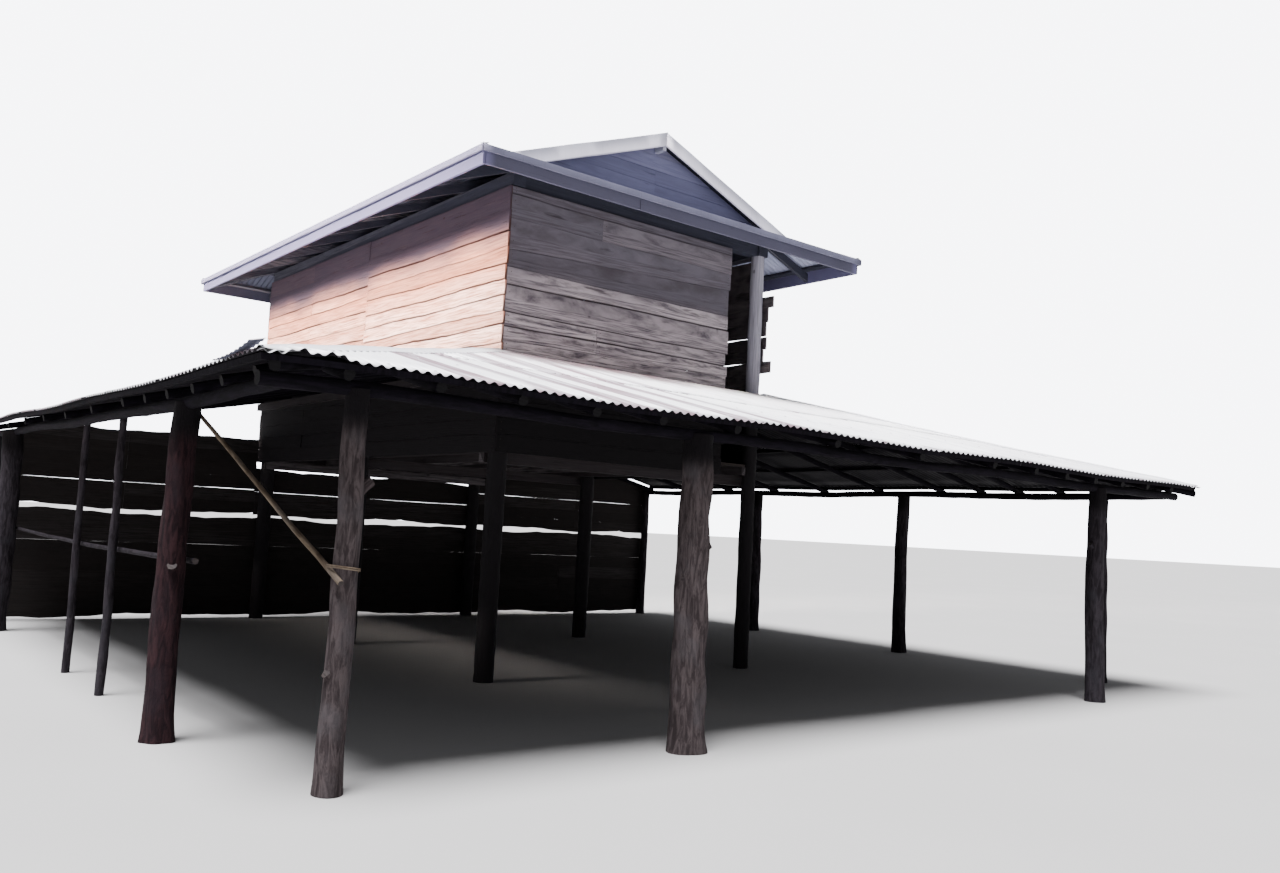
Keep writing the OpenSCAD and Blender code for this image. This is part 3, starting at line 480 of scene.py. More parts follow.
def painted(name, colour, worn, fade_and_painted_light, roughness=0.6):
    """Faded paint on a board or a folded strip, worn through in streaks. As the tint's green rises from
    0.5 it takes the third tone: painted light on the left fascia, on the inner side of the right one
    and on the left eave strip, painted shade on the verges' top wings, and a duller tone on the caps."""
    paint = Paint(name, roughness, 0.3)
    wear = paint.noise("UV", (1.4, 18, 1), 2.0, 7.0, 0.6, 0.3)
    fade = paint.noise("UV", (1.2, 2.0, 1), 1.4, 4.0)
    tone = paint.mix(paint.ramp(fade, 0.35, 0.7), colour, paint.mix(0.45, colour, worn))
    tone = paint.over(tone, worn, paint.ramp(wear, 0.55, 0.72), 0.75)
    tone = paint.mix(paint.ramp(paint.tint()[1], 0.5, 1.0), tone, fade_and_painted_light)
    return paint.done(tone, wear, 0.002)


def plain_floor():
    paint = Paint("floor", 0.95, 0.1)
    cloud = paint.noise("Object", (1, 1, 1), 0.4, 2.0)
    return paint.done(paint.mix(cloud, (0.31, 0.305, 0.30), (0.34, 0.335, 0.33)))


MAT = {
    # The left wall's boards, warmer and paler than the others: painted sunlight, with real bleaching
    "sunlit": wood("sunlit_boards", (0.66, 0.29, 0.19), (0.34, 0.12, 0.07), (0.035, 0.014, 0.011),
                   (0.55, 0.30, 0.23), greying=0.4, shade_and_smudge=(0.028, 0.028, 0.048),
                   bleach_and_light=(0.95, 0.68, 0.58)),
    # Grey boards for the walls out of the sun, darker than the left wall's: weathered, with painted
    # shade
    "shaded_weathered": wood("weathered_boards", (0.128, 0.115, 0.138), (0.066, 0.056, 0.066),
                      (0.013, 0.010, 0.012), (0.125, 0.118, 0.142), greying=0.6,
                      bleach_and_light=(0.58, 0.50, 0.51)),
    "hewn": wood("hewn_posts", (0.34, 0.33, 0.39), (0.20, 0.19, 0.22), (0.04, 0.034, 0.04),
                 (0.31, 0.31, 0.37), greying=0.6),
    # Near-black boards for the screen and floor: painted shade under the roofs
    "inner": wood("inner_boards", (0.055, 0.042, 0.038), (0.032, 0.024, 0.022), (0.01, 0.008, 0.008),
                  (0.05, 0.045, 0.045)),
    "dark": wood("dark_boards", (0.205, 0.21, 0.35), (0.155, 0.16, 0.265), (0.07, 0.072, 0.12),
                 (0.20, 0.205, 0.33), relief=0.0015),
    "end": wood("sawn_ends", (0.050, 0.040, 0.038), (0.034, 0.027, 0.026), (0.013, 0.010, 0.010),
                (0.045, 0.039, 0.041)),
    # Near-black ends of the poles and battens: painted shade under the lean-to roof
    "under_end": wood("shaded_ends", (0.0030, 0.0022, 0.0034), (0.0020, 0.0015, 0.0022),
                      (0.0010, 0.0008, 0.0010), (0.0025, 0.0022, 0.0030)),
    # Dark bark for the lean-to's posts: painted shade under its roof
    "pale_bark": bark("pale_bark", (0.070, 0.056, 0.057), (0.026, 0.020, 0.021), (0.060, 0.054, 0.058)),
    "red_bark": bark("red_bark", (0.026, 0.012, 0.014), (0.009, 0.0045, 0.006), (0.015, 0.010, 0.013)),
    "grey_bark": bark("grey_bark", (0.030, 0.025, 0.030), (0.011, 0.009, 0.011), (0.028, 0.026, 0.031)),
    # Near-black poles and battens under the lean-to roof: painted shade
    "pole": bark("pole_bark", (0.0060, 0.0042, 0.0078), (0.0020, 0.0016, 0.0028),
                 (0.0052, 0.0042, 0.0075), 0.005),
    "bamboo": bark("bamboo", (0.16, 0.125, 0.09), (0.07, 0.05, 0.035), (0.12, 0.10, 0.085), 0.002),
    "zinc": zinc("zinc_sheet", (0.97, 0.97, 0.985), (0.50, 0.49, 0.53), (0.22, 0.15, 0.175), 0.42, 0.15),
    "upper": zinc("upper_sheet", (0.19, 0.195, 0.255), (0.145, 0.15, 0.195), (0.11, 0.09, 0.10),
                  0.55, 0.2),
    "flashing": zinc("zinc_flashing", (0.70, 0.70, 0.73), (0.55, 0.54, 0.58), (0.34, 0.25, 0.26),
                     0.42, 0.15),
    # Near-black underside of the lean-to sheets: painted shade
    "underside_shade_and_glare": underside_shade_and_glare("shaded_underside_zinc", (0.005, 0.0038, 0.0065), (0.010, 0.008, 0.012)),
    # Pale blue underside for the right upper eave: painted glare of the sky
    "glare_lit": underside_shade_and_glare("glare_lit_zinc", (0.36, 0.38, 0.50), (0.50, 0.52, 0.68)),
    # Slate underside for the rest of the upper roof: painted shade of the soffits
    "slate": underside_shade_and_glare("slate_zinc", (0.070, 0.075, 0.108), (0.105, 0.112, 0.158)),
    "fascia": painted("fascia_paint", (0.072, 0.070, 0.108), (0.050, 0.048, 0.074),
                      (0.128, 0.122, 0.220)),
    "edge": painted("eave_strip_paint", (0.115, 0.115, 0.168), (0.08, 0.08, 0.115),
                    (0.165, 0.160, 0.240), 0.5),
    "trim": painted("verge_paint", (0.93, 0.90, 1.0), (0.70, 0.68, 0.80), (0.42, 0.42, 0.49), 0.45),
}


# Corrugated roofs

def sheet(shape, plane, x0, waves, y0, y1, lift, aged, seed, curl):
    """One corrugated sheet, with its left edge and its foot a little proud for the laps."""
    dice = rng(seed)
    across = np.linspace(0, waves * WAVE, int(waves * 8) + 1)
    x, y = np.meshgrid(x0 + across, np.linspace(y0, y1, 6))
    wave = WAVE_DEPTH / 2 * (np.cos(2 * np.pi * x / WAVE) - 1)
    edge = 0.0016 * (1 - (x - x0) / (waves * WAVE)) + 0.0022 * (1 - (y - y0) / (y1 - y0))
    dent = ripple(x + y, seed, 2.3, 0.0015) + ripple(y, seed + 1, 1.9, 0.002)
    if curl:
        dent = dent + curl(x, y)
    skew = dice.uniform(-0.004, 0.004)
    points = plane.at(x + skew * (y - y0), y, wave + edge + dent + lift)
    uvs = np.stack([x + dice.uniform(0, 40), y], axis=-1)
    tints = np.full(points.shape, dice.uniform())
    laps = np.exp(-((x - x0) / 0.015) ** 2) + 0.8 * np.exp(-((y - y0) / 0.03) ** 2)
    tints[..., 1] = np.clip(aged(x, y, dice) + 0.45 * laps * (dice.uniform() > 0.25), 0, 1)
    # Blue marks the troughs and the laps for grime and painted shade
    tints[..., 2] = np.maximum(-wave / WAVE_DEPTH, 0.9 * laps)
    shape.grid(points, uvs, tints)


def sheeting(shape, plane, span, y0, y1, seed, aged, lift=0.0, ragged=0.0, curl=None):
    """A course of sheets side by side over a span of x, from y0 up to y1."""
    dice = rng(seed)
    (x, x1), k = span, 0
    while x < x1:
        waves = min(SHEET_WAVES + SIDE_LAP, ceil((x1 - x) / WAVE * 2) / 2)
        foot = y0 + dice.uniform(-ragged, ragged)
        sheet(shape, plane, x, waves, foot, y1, lift, aged, seed * 100 + k, curl)
        x += SHEET_WAVES * WAVE
        k += 1


def between(x, low, high, soft):
    """1 where x lies between low and high, falling to 0 over soft on either side."""
    return np.clip(np.minimum(x - low, high - x) / soft + 0.5, 0, 1)


def front_aged(x, y, dice):
    """The sheets left of the granary are streaked with rust, and those below its wall are dull."""
    bands = np.clip(0.42 + 0.75 * np.sin(x * 11.3 + 0.8) + 0.35 * np.sin(x * 27.0), 0, 1)
    streaked = between(x, -2.45, 0.7, 0.3) * bands
    dull = between(x, -1.3, 2.4, 0.8) * np.clip((y - 2.0) / 1.2, 0, 1) * 0.75
    return np.maximum(np.maximum(streaked, dull), dice.uniform(0.0, 0.15))


def side_aged(x, y, dice):
    """The sheets at the sides are streaked here and there, most of all high up."""
    bands = np.clip(0.2 + 0.8 * np.sin(x * 7.9 + 1.3) * np.sin(x * 2.3), 0, 1)
    return dice.uniform(0.0, 0.35) + bands * np.clip(0.15 + 0.35 * y, 0, 0.75)


def bent_up(x, y):
    """The edge of the front eave, bent up in two places near its left end."""
    return 0.035 * np.exp(-(y / 0.16) ** 2) * (np.exp(-((x + 3.36) / 0.07) ** 2)
                                               + np.exp(-((x + 3.17) / 0.09) ** 2))


def lean_roofs():
    """Three slopes, each in two courses with the upper one lapped over the lower."""
    for side, seed, aged, curl, ends in (("front", 11, front_aged, bent_up, []),
                                         ("left", 21, side_aged, None, [((0, LENGTH, 0), Y)]),
                                         ("right", 31, side_aged, None, [((0, LENGTH, 0), Y)])):
        plane, span, shape = LEAN[side], LEAN_SPAN[side], Shape()
        middle = plane.length * 0.52
        sheeting(shape, plane, span, 0.0, middle, seed, aged, ragged=0.020, curl=curl)
        sheeting(shape, plane, span, middle - END_LAP, plane.length - 0.002, seed + 1, aged, lift=0.0015)
        metal(side + "_lean_sheets", shape, ("zinc", "underside_shade_and_glare"), "zinc_sheet", [side + "_lean_roof"],
              planes=hip_planes(side, LEAN_HIPS[side]) + ends, crease=60, sunk=True)


def upper_sheets(name, side, out, y0, y1, seed, below, replaces=(), planes=(), **course):
    """A course on one of the upper slopes, which goes past the granary's ends by out."""
    shape = Shape()
    span = ENDS[side][0] - out, ENDS[side][1] + out
    sheeting(shape, UPPER[side], span, y0, y1, seed, lambda x, y, dice: dice.uniform(0.1, 0.5), **course)
    metal(name, shape, ("upper", below), "upper_sheet", replaces, crease=60,
          planes=planes or hip_planes(side, UPPER_HIPS[side]))


def upper_roofs():
    """The main slopes, whose upper course stands out over the skirts at both gables."""
    lap = (EAVE_OUT - VERGE_OUT) / cos(UPPER_PITCH)
    gable_ends = [((0, -VERGE_OUT, 0), -Y), ((0, LENGTH + VERGE_OUT, 0), Y)]
    for side, below in (("left", "slate"), ("right", "glare_lit")):
        upper_sheets("upper_eave_sheets_" + side, side, EAVE_OUT, 0.0, lap + 0.06, 41, below,
                     lift=-0.003, ragged=0.008)
        upper_sheets("upper_sheets_" + side, side, VERGE_OUT, lap, UPPER[side].length, 43, "slate",
                     ["upper_roof_" + side], gable_ends)


def skirts():
    for side, seed, replaces in (("front", 47, ["skirt_roofs"]), ("back", 48, [])):
        upper_sheets("skirt_sheets_" + side, side, EAVE_OUT, 0.0, UPPER[side].length - 0.003, seed,
                     "slate", replaces, ragged=0.008)


# Folded flashings

def folded(shape, start, end, arms, seed, tint=(0.4, 0.2, 0.5), dent=0.003):
    """A strip of metal folded along the line from start to end. Its cross-section runs through the
    arms, each an offset from that line."""
    way, arms = np.subtract(end, start), np.array(arms, float)
    tint = np.broadcast_to(tint, arms.shape)
    if np.cross(arms[2] - arms[1], way)[2] < 0:
        arms, tint = arms[::-1], tint[::-1]
    length = np.linalg.norm(way)
    t = np.linspace(0, 1, max(8, int(length / STRIP_STEP)))
    points = (start + t[:, None] * way)[:, None, :] + arms
    for k in range(len(arms)):
        points[:, k, 2] += ripple(t * length, seed + k, 1.3, dent)
    shape.grid(points, uv_map(t * length, distances(arms))[..., ::-1], tint)


def cap_arms(first, second, half, crest):
    """Cross-section over a hip or ridge: two wings that lie on the slopes, each with the steps of half
    as out and up, and between them a fold raised to crest."""
    return ([first * out + Z * up for out, up in half] + [Z * crest]
            + [second * out + Z * up for out, up in reversed(half)])


def hip_arms(dx, dy, width):
    return cap_arms(X * dx, Y * dy, [(width, 0.001), (width * 0.94, 0.005), (0.03, 0.008)], 0.019)


def loose_sheet():
    """A narrow offcut that lies loose along the left eave by the corner, its near end curled up."""
    shape, far_x, near_x, curl_x = Shape(), 2.86, 3.52, 2.95
    x, y = np.meshgrid(np.linspace(far_x, near_x, 36), np.linspace(-0.035, 0.055, 4))
    wave = 0.2 * WAVE_DEPTH * (np.cos(2 * np.pi * x / WAVE) - 1)
    curled = 0.045 * np.clip((x - curl_x) / 0.55, 0, 1) ** 2 + 0.004
    shape.grid(LEAN["left"].at(x, y, wave + curled), np.stack([x, y], axis=-1), (0.8, 0.6, 0.5))
    metal("loose_sheet", shape, ("zinc", "slate"), "zinc_sheet", crease=60, sunk=True)


def lean_flashings():
    shape = Shape()
    for x, dx, out, seed in ((0.0, 1, LEFT_OUT, 61), (WIDTH, -1, RIGHT_OUT, 62)):
        foot = (x - dx * out + dx * 0.01, -FRONT_OUT + 0.01, LEAN_EAVE)
        folded(shape, foot, (x, 0.0, LEAN_TOP), hip_arms(dx, 1, 0.15), seed)
    metal("lean_hip_caps", shape, ("flashing", "underside_shade_and_glare"), "zinc_flashing", ["lean_hip_flashings"],
          crease=25, sunk=True)


def upper_flashings():
    shape, dull = Shape(), (0.4, 0.85, 0.5)
    stop = -VERGE_OUT - 0.03
    for x, dx, y, dy in CORNERS:
        foot = (x - dx * EAVE_OUT, y - dy * EAVE_OUT, EAVE)
        head = (x + dx * stop, y + dy * stop, EAVE + (EAVE_OUT + stop) * UPPER_TAN)
        folded(shape, foot, head, hip_arms(dx, dy, 0.11), 70 + int(x + y), dull)
    metal("upper_hip_caps", shape, ("trim", "slate"), "upper_flashing", ["upper_hip_flashings"],
          crease=25)

    shape = Shape()
    down = np.array((-cos(UPPER_PITCH), 0, -sin(UPPER_PITCH)))
    arms = cap_arms(down, down * (-1, 1, 1), [(0.15, 0.001), (0.14, 0.005), (0.02, 0.008)], 0.016)
    ends = [(WIDTH / 2, y, RIDGE) for y in (-VERGE_OUT - 0.004, LENGTH + VERGE_OUT + 0.004)]
    folded(shape, *ends, arms, 81, dull)
    metal("ridge_cap", shape, ("trim", "slate"), "upper_flashing", ["ridge_flashing"], crease=25)


def eave_strips():
    """Strips folded over the foot of the upper sheets, in front of the fascias."""
    shape = Shape()
    for k, side in enumerate(("front", "back", "left", "right")):
        plane, out = UPPER[side], -UPPER[side].inward
        ends = plane.at((ENDS[side][0] - EAVE_OUT, ENDS[side][1] + EAVE_OUT), 0, 0.004)
        arms = [plane.up * 0.07 + plane.out * 0.001, plane.up * 0.06 + plane.out * 0.004,
                plane.out * 0.006, out * 0.004, out * 0.004 - Z * 0.055, out * -0.004 - Z * 0.064]
        # The left strip takes the paler tone: painted light
        folded(shape, *ends, arms, 95 + k, (0.4, 1.0 if side == "left" else 0.5, 0.5), 0.0015)
    metal("eave_strips", shape, ("edge", "slate"), "upper_flashing", crease=25)


def verges():
    """Strips folded over the four sloping edges of the gables, with a short wing on the sheet."""
    shape = Shape()
    foot_x = -VERGE_OUT + 0.05
    for x, dx, end, dy in CORNERS:
        y = end - dy * (VERGE_OUT + 0.001)
        arms = [(0, dy * 0.16, -0.002), (0, dy * 0.15, 0.004), (0, 0, 0.010), (0, -dy * 0.004, 0.002),
                (0, -dy * 0.004, -0.138), (0, dy * 0.008, -0.150)]
        # The top wings take the darker tone: painted shade
        wing = [(0.4, 1.0 if arm[2] > -0.1 else 0.5, 0.5) for arm in arms]
        foot = (x + dx * foot_x, y, EAVE + (EAVE_OUT + foot_x) * UPPER_TAN)
        folded(shape, foot, (WIDTH / 2, y, RIDGE), arms, 90 + int(end + x), wing, 0.002)
    metal("verge_strips", shape, ("trim", "slate"), "upper_flashing", ["verge_flashings"],
          SHEET_T * 1.5, crease=25)


# Boards

EDGE_SHADE_STAIN, BUTT_GAP, NAIL_INSET = 0.016, 0.002, 0.04


def board(shape, plane, x, low, high, thick, out, shade, seed, weather, edge_stains_and_shade):
    """One board along x, with low and high edges that may wander, its front at out. Its tint holds
    its shade, the weather at each height and how dark its two edges are."""
    dice = rng(seed)
    soft, rim = min(0.004, thick / 4), EDGE_SHADE_STAIN
    cup = dice.uniform(-0.002, 0.003)
    bow = out + ripple(x, seed, 3.1, 0.003)
    foot, head = edge_stains_and_shade
    section = [(low, -soft, foot), (low + soft, 0.0, foot), (low + rim, 0.0, 0.15 * foot),
               ((low + high) / 2, cup, 0.0), (high - rim, 0.0, 0.15 * head), (high - soft, 0.0, head),
               (high, -soft, head), (high, -thick, 1.0), (low, -thick, 1.0)]
    points = np.stack([plane.at(x, z, bow + o) for z, o, _ in section], axis=1)
    span = float(np.mean(high - low))
    girth = np.array([0, soft, rim, span / 2, span - rim, span - soft, span, span + thick,
                      2 * span + thick, 2 * span + 2 * thick])
    uvs = uv_map(x + dice.uniform(0, 60), girth + dice.uniform(0, 60))
    tints = np.full(points.shape, shade)
    tints[..., 1] = weather(points)
    # Blue darkens the edges: stains and painted shade at the seams
    tints[..., 2] = [stain_and_shade for _, _, stain_and_shade in section]
    if np.dot(np.cross(plane.along, Z), plane.out) > 0:
        points, tints, uvs = points[:, ::-1], tints[:, ::-1], uvs[:, ::-1]
    shape.tube(points, uvs, tints)


def seam(z0, z1, x0, x1, seed, size):
    """A seam between two courses, from height z0 at x0 to z1 at x1, that wanders by size."""
    return lambda x: (z0 + (z1 - z0) * (x - x0) / (x1 - x0) + ripple(x, seed, 2.9, size, 2)
                      + ripple(x, seed + 7, 0.6, size * 0.3))


def boarding(shape, plane, x0, x1, heights, seed, butts=(), size=0.006, gap=0.0015, thick=BOARD_T,
             ends=(0.012, 0.012), slits=None, proud=None, weather=lambda points: 0.5, rim=0.002):
    """Courses of boards from x0 to x1. heights holds each seam's height at either end, and butts the
    places where boards may meet end to end. slits opens the seam at the foot of a course, in
    millimetres, proud pushes a course's first end out past x0, in metres, and rim is how far the
    field's own edges wander. Returns the places of the nails, each with the way that it faces."""
    dice, nails = rng(seed), []
    slits, proud = slits or {}, proud or {}
    seams = [seam(a, b, x0, x1, seed * 10 + k, size if 0 < k < len(heights) - 1 else rim)
             for k, (a, b) in enumerate(heights)]
    opens = [gap + slits.get(k, 0) / 1000 for k in range(len(seams))]
    for k in range(len(seams) - 1):
        stops = [x0] + [b for b in butts if dice.uniform() < 0.6] + [x1]
        for left, right in zip(stops, stops[1:]):
            early = BUTT_GAP if left > x0 else dice.uniform(-ends[0], ends[0] * 0.3) - proud.get(k, 0.0)
            late = BUTT_GAP if right < x1 else dice.uniform(-ends[1], ends[1] * 0.3)
            begin, finish = left + early, right - late
            x = np.linspace(begin, finish, max(4, int((finish - begin) / BOARD_STEP)))
            # Edges darker where a seam opens wider: painted shade in the gap, with stains
            edge_stains_and_shade = [min(1.0, 0.36 + 200 * (opens[j] - gap)) for j in (k, k + 1)]
            half = [opens[j] / 2 * np.clip(0.9 + ripple(x, seed * 10 + j, 2.1, 0.8), 0.1, 1.6)
                    for j in (k, k + 1)]
            board(shape, plane, x, seams[k](x) + half[0], seams[k + 1](x) - half[1], thick,
                  dice.uniform(-0.003, 0.006), dice.uniform(), int(dice.integers(1 << 30)), weather,
                  edge_stains_and_shade)
            for end in (begin + NAIL_INSET, finish - NAIL_INSET):
                for part in (0.28, 0.72):
                    z = seams[k](end) * (1 - part) + seams[k + 1](end) * part
                    nails.append((plane.at(end, z, 0.006), plane.out))
    return nails


def nail_heads(name, nails, radius, slot, material):
    """Small domed heads, each with its place and the way that it faces."""
    shape = Shape()
    turn = circle(6)[:, None]
    for spot, out in nails:
        out = unit(out)
        side = unit(np.cross(out, (0.3, 0.4, 0.87)))
        ring = np.cos(turn) * side + np.sin(turn) * np.cross(out, side)
        rings = np.stack([spot + ring * radius, spot + ring * radius * 0.75 + out * radius * 0.35,
                          spot + ring * radius * 0.1 + out * radius * 0.5])
        shape.grid(rings, np.zeros((3, 7, 2)), (0.5, 0.5, 0.5), ring=True)
    piece(name, shape, [material], slot, crease=35)


def level(low, high, count):
    """The heights of that many level seams, evenly from low to high."""
    return [(z, z) for z in np.linspace(low, high, count)]


def wall_seams(*shown):
    """The seams of a wall, with those below the lean-to roof, which the photograph doesn't show."""
    hidden = (2.48, 2.49), (2.65, 2.66), (2.84, 2.82), (3.00, 3.02), (3.17, 3.18)
    return [(WALL_LOW, WALL_LOW), *hidden, *shown, (WALL_TOP, WALL_TOP)]


def weather_curve(*steps, shade_darkened=True):
    """Weather by height, through the given steps, and when asked black below the lean-to roof: painted
    shade.
    """
    below = ((LEAN_TOP - 0.10, -1.0), (LEAN_TOP - 0.04, steps[0][1])) if shade_darkened else ()
    heights, values = zip(*below, *steps)

    def weather(points):
        x, y, z = np.moveaxis(points, -1, 0)
        wander = ripple(x + y, 800, 1.9, 0.05) * np.clip((z - 3.5) * 2, 0, 1)
        return np.interp(z + wander, heights, values)

    return weather


# The walls' weather by height: dark tops under the upper eaves are painted shade, and the pale low
# boards are bleaching and painted light
SHADED = weather_curve((3.40, 0.98), (3.90, 0.92), (4.15, 0.78), (4.35, 0.58), (4.60, 0.49),
                       (5.00, 0.43))
SUNNY = weather_curve((3.40, 0.90), (3.90, 0.72), (4.20, 0.60), (4.34, 0.50), (4.44, 0.27),
                      (4.58, 0.15), (4.70, 0.0))
EXPOSED = weather_curve((2.40, 0.80), (3.80, 0.90), (4.40, 0.60), (5.00, 0.45), shade_darkened=False)


def by_the_bay(points):
    """The right wall's weather, with its inner face paler near the open bay."""
    x, y, z = np.moveaxis(points, -1, 0)
    return np.where((x < WIDTH - WALL_T / 2) & (y < 1.3) & (z > LEAN_TOP), 1.0, SHADED(points))


def granary_walls():
    """Four walls, the long ones in two fields of boards that meet near their middle."""
    nails, middle = [], 3.30
    front = wall_seams((3.31, 3.33), (3.44, 3.47), (3.59, 3.60), (3.73, 3.74), (4.02, 4.03),
                       (4.20, 4.20), (4.38, 4.52), (4.71, 4.72), (4.96, 4.95))
    near = wall_seams((3.31, 3.30), (3.42, 3.43), (3.60, 3.62), (3.74, 3.75), (3.90, 3.91), (4.06, 4.08),
                      (4.22, 4.27), (4.40, 4.41), (4.56, 4.57), (4.78, 4.80))
    far = wall_seams((3.33, 3.32), (3.47, 3.48), (3.63, 3.62), (3.80, 3.80), (3.98, 3.99), (4.15, 4.16),
                     (4.33, 4.32), (4.48, 4.47), (4.62, 4.60), (4.80, 4.81))
    right_near = wall_seams((3.32, 3.31), (3.46, 3.45), (3.60, 3.60), (3.75, 3.75), (3.90, 3.90),
                            (4.06, 4.06), (4.24, 4.24), (4.42, 4.42), (4.56, 4.57), (4.78, 4.80))

    def wall(side, paint, weather, *fields):
        shape = Shape()
        for x0, x1, heights, seed, size, ends, slits, more in fields:
            nails.extend(boarding(shape, face(side), x0, x1, heights, seed, size=size, ends=ends,
                                  slits=slits, weather=weather, **more))
        piece(side + "_boards", shape, [paint], paint + "_boards", [side + "_wall"])

    wall("front", "shaded_weathered", SHADED,
         (WALL_T, BOARDS_END, front, 101, 0.006, (0.004, 0.03),
          {7: 1, 8: 3, 9: 2, 10: 3, 11: 1, 12: 1, 14: 2}, dict(butts=(1.2,))))
    wall("left", "sunlit", SUNNY,
         (0.0, middle, near, 111, 0.011, (0.02, 0.004),
          {7: 3, 8: 5, 9: 2, 10: 5, 11: 3, 12: 3, 13: 2, 14: 5}, {}),
         (middle, LENGTH, far, 112, 0.011, (0.004, 0.02),
          {7: 3, 8: 5, 9: 3, 10: 2, 11: 5, 12: 2, 13: 5}, dict(butts=(5.1,))))
    wall("right", "shaded_weathered", by_the_bay,
         (0.085, middle, right_near, 121, 0.003, (0.006, 0.004), {8: 4, 9: 13, 11: 14, 12: 1.5},
          dict(proud={8: 0.19, 9: 0.05, 10: 0.10, 11: 0.09, 12: 0.11, 13: 0.19})),
         (middle, LENGTH, far, 122, 0.006, (0.004, 0.02), {9: 4, 12: 3}, dict(butts=(5.0,))))
    wall("back", "shaded_weathered", EXPOSED,
         (WALL_T, WIDTH - WALL_T, far, 131, 0.006, (0.004, 0.004), {8: 3, 11: 4, 13: 3},
          dict(butts=(1.9,))))
    nail_heads("wall_nails", nails, WALL_NAIL, "weathered_boards", "inner")


def sweep(shape, plane, x, section, girth, uv, shade, end_slot=0):
    """A solid along x, with a section given as places up and out of a plane, and a UV map that starts
    at uv and goes round the girth."""
    points = np.stack([plane.at(x, y, z) for y, z in section], axis=1)[:, ::-1]
    uvs = uv_map(x + uv[0], np.linspace(0, girth, len(section) + 1) + uv[1])
    shape.tube(points, uvs, (shade, 0.5, 0.5), end_slot)


def floor():
    """Boards across the joists, cut round the six posts."""
    shape, dice, edge = Shape(), rng(141), WALL_T + 0.002
    joists = Plane(Z * JOIST_TOP, X, Y, Z)
    y = edge
    while y < LENGTH - WALL_T - 0.05:
        width = min(dice.uniform(0.17, 0.24), LENGTH - edge - y)
        by_post = any(abs(y + width / 2 - row) < (HEWN + width) / 2 for row in POST_ROWS)
        inset = WALL_T + (HEWN + 0.004 if by_post else 0.003)
        x = np.linspace(inset, WIDTH - inset, 24)
        low = y + ripple(x, int(y * 1000), 1.9, 0.002) + PLANK_GAP / 2
        high = low + width - PLANK_GAP
        ring = [(low, 0.0), (low, PLANK_T - PLANK_EDGE), (low + PLANK_EDGE, PLANK_T),
                (high - PLANK_EDGE, PLANK_T), (high, PLANK_T - PLANK_EDGE), (high, 0.0)]
        sweep(shape, joists, x, ring, 2 * width, (y * 7, y * 5), dice.uniform())
        y += width
    piece("floor_planks", shape, ["inner"], "floor_board", ["floor_boards"])


def gables():
    """Dark boards above the skirts, cut off below the slopes."""
    low = EAVE + EAVE_OUT * UPPER_TAN + 0.005
    for side, seed, replaces in (("front", 151, []), ("back", 152, ["gable_walls"])):
        shape = Shape()
        boarding(shape, face(side), 0.0, WIDTH, level(low, RIDGE - 0.06, 5), seed, size=0.003,
                 thick=THIN_BOARD_T, butts=(1.9,), gap=0.001)
        piece("gable_boards_" + side, shape, ["dark"], "dark_boards", replaces,
              under(UPPER, GABLE_DROP))


def fascia_boards():
    """Painted boards behind the edge of the upper sheet, in lengths that meet at butts."""
    top = EAVE + 0.03 * UPPER_TAN - FASCIA_DROP / cos(UPPER_PITCH)
    shape, out, heights = Shape(), FASCIA_FACE, level(top - FASCIA_H, top, 2)

    def fade_and_painted_light(points):
        """Paler on the left, and on the inner side of the right board: painted light."""
        x = points[..., 0]
        inner_right = (x > WIDTH + 0.7) & (x < WIDTH + out - 0.01)
        return np.where((x < -out + FASCIA_T) | inner_right, 1.0, 0.5)

    for side, length, inset, butts, seed in (("front", WIDTH, FASCIA_T, (1.1, 3.1), 161),
                                             ("back", WIDTH, FASCIA_T, (0.6, 2.9), 162),
                                             ("left", LENGTH, 0.0, (1.9, 4.6), 163),
                                             ("right", LENGTH, 0.0, (2.2, 5.0), 164)):
        boarding(shape, face(side, out), -out + inset, length + out - inset, heights, seed, butts,
                 thick=THIN_BOARD_T, ends=(0.001, 0.001), weather=fade_and_painted_light)
    piece("fascia_strips", shape, ["fascia"], "fascia_board", ["fascias"])


def screen():
    """Boards across the back, with a slit at the middle of their height."""
    shape = Shape()
    plane = Plane((0, SCREEN_Y + SCREEN_T, 0), X, Z, Y)
    left, right = -LEFT_OUT + INSET - 0.06, WIDTH + RIGHT_OUT - INSET + 0.06
    upper = level(1.515, 2.62, 7)

    def worn_outside(points):
        return np.where(points[..., 1] > SCREEN_Y + SCREEN_T / 2, 0.76, 0.5)

    for x0, x1, heights, seed, butts, slits in (
            (left, right, level(0.045, 1.455, 8), 171, (-0.9, 1.6, 3.67, 5.6), {5: 1}),
            (left, -0.006, upper, 172, (-1.8,), {2: 3}),
            (WIDTH + 0.006, right, upper, 173, (5.9,), {3: 2}),
            (0.0, WIDTH, level(1.515, BEAM_LOW, 5), 174, (1.9,), {2: 2})):
        boarding(shape, plane, x0, x1, heights, seed, butts, size=0.003, gap=0.0, thick=0.023,
                 slits=slits, rim=0.028, weather=worn_outside)
    piece("screen_boards", shape, ["inner"], "dark_boards", ["back_screen"], under(LEAN, SCREEN_DROP))


# Logs and poles

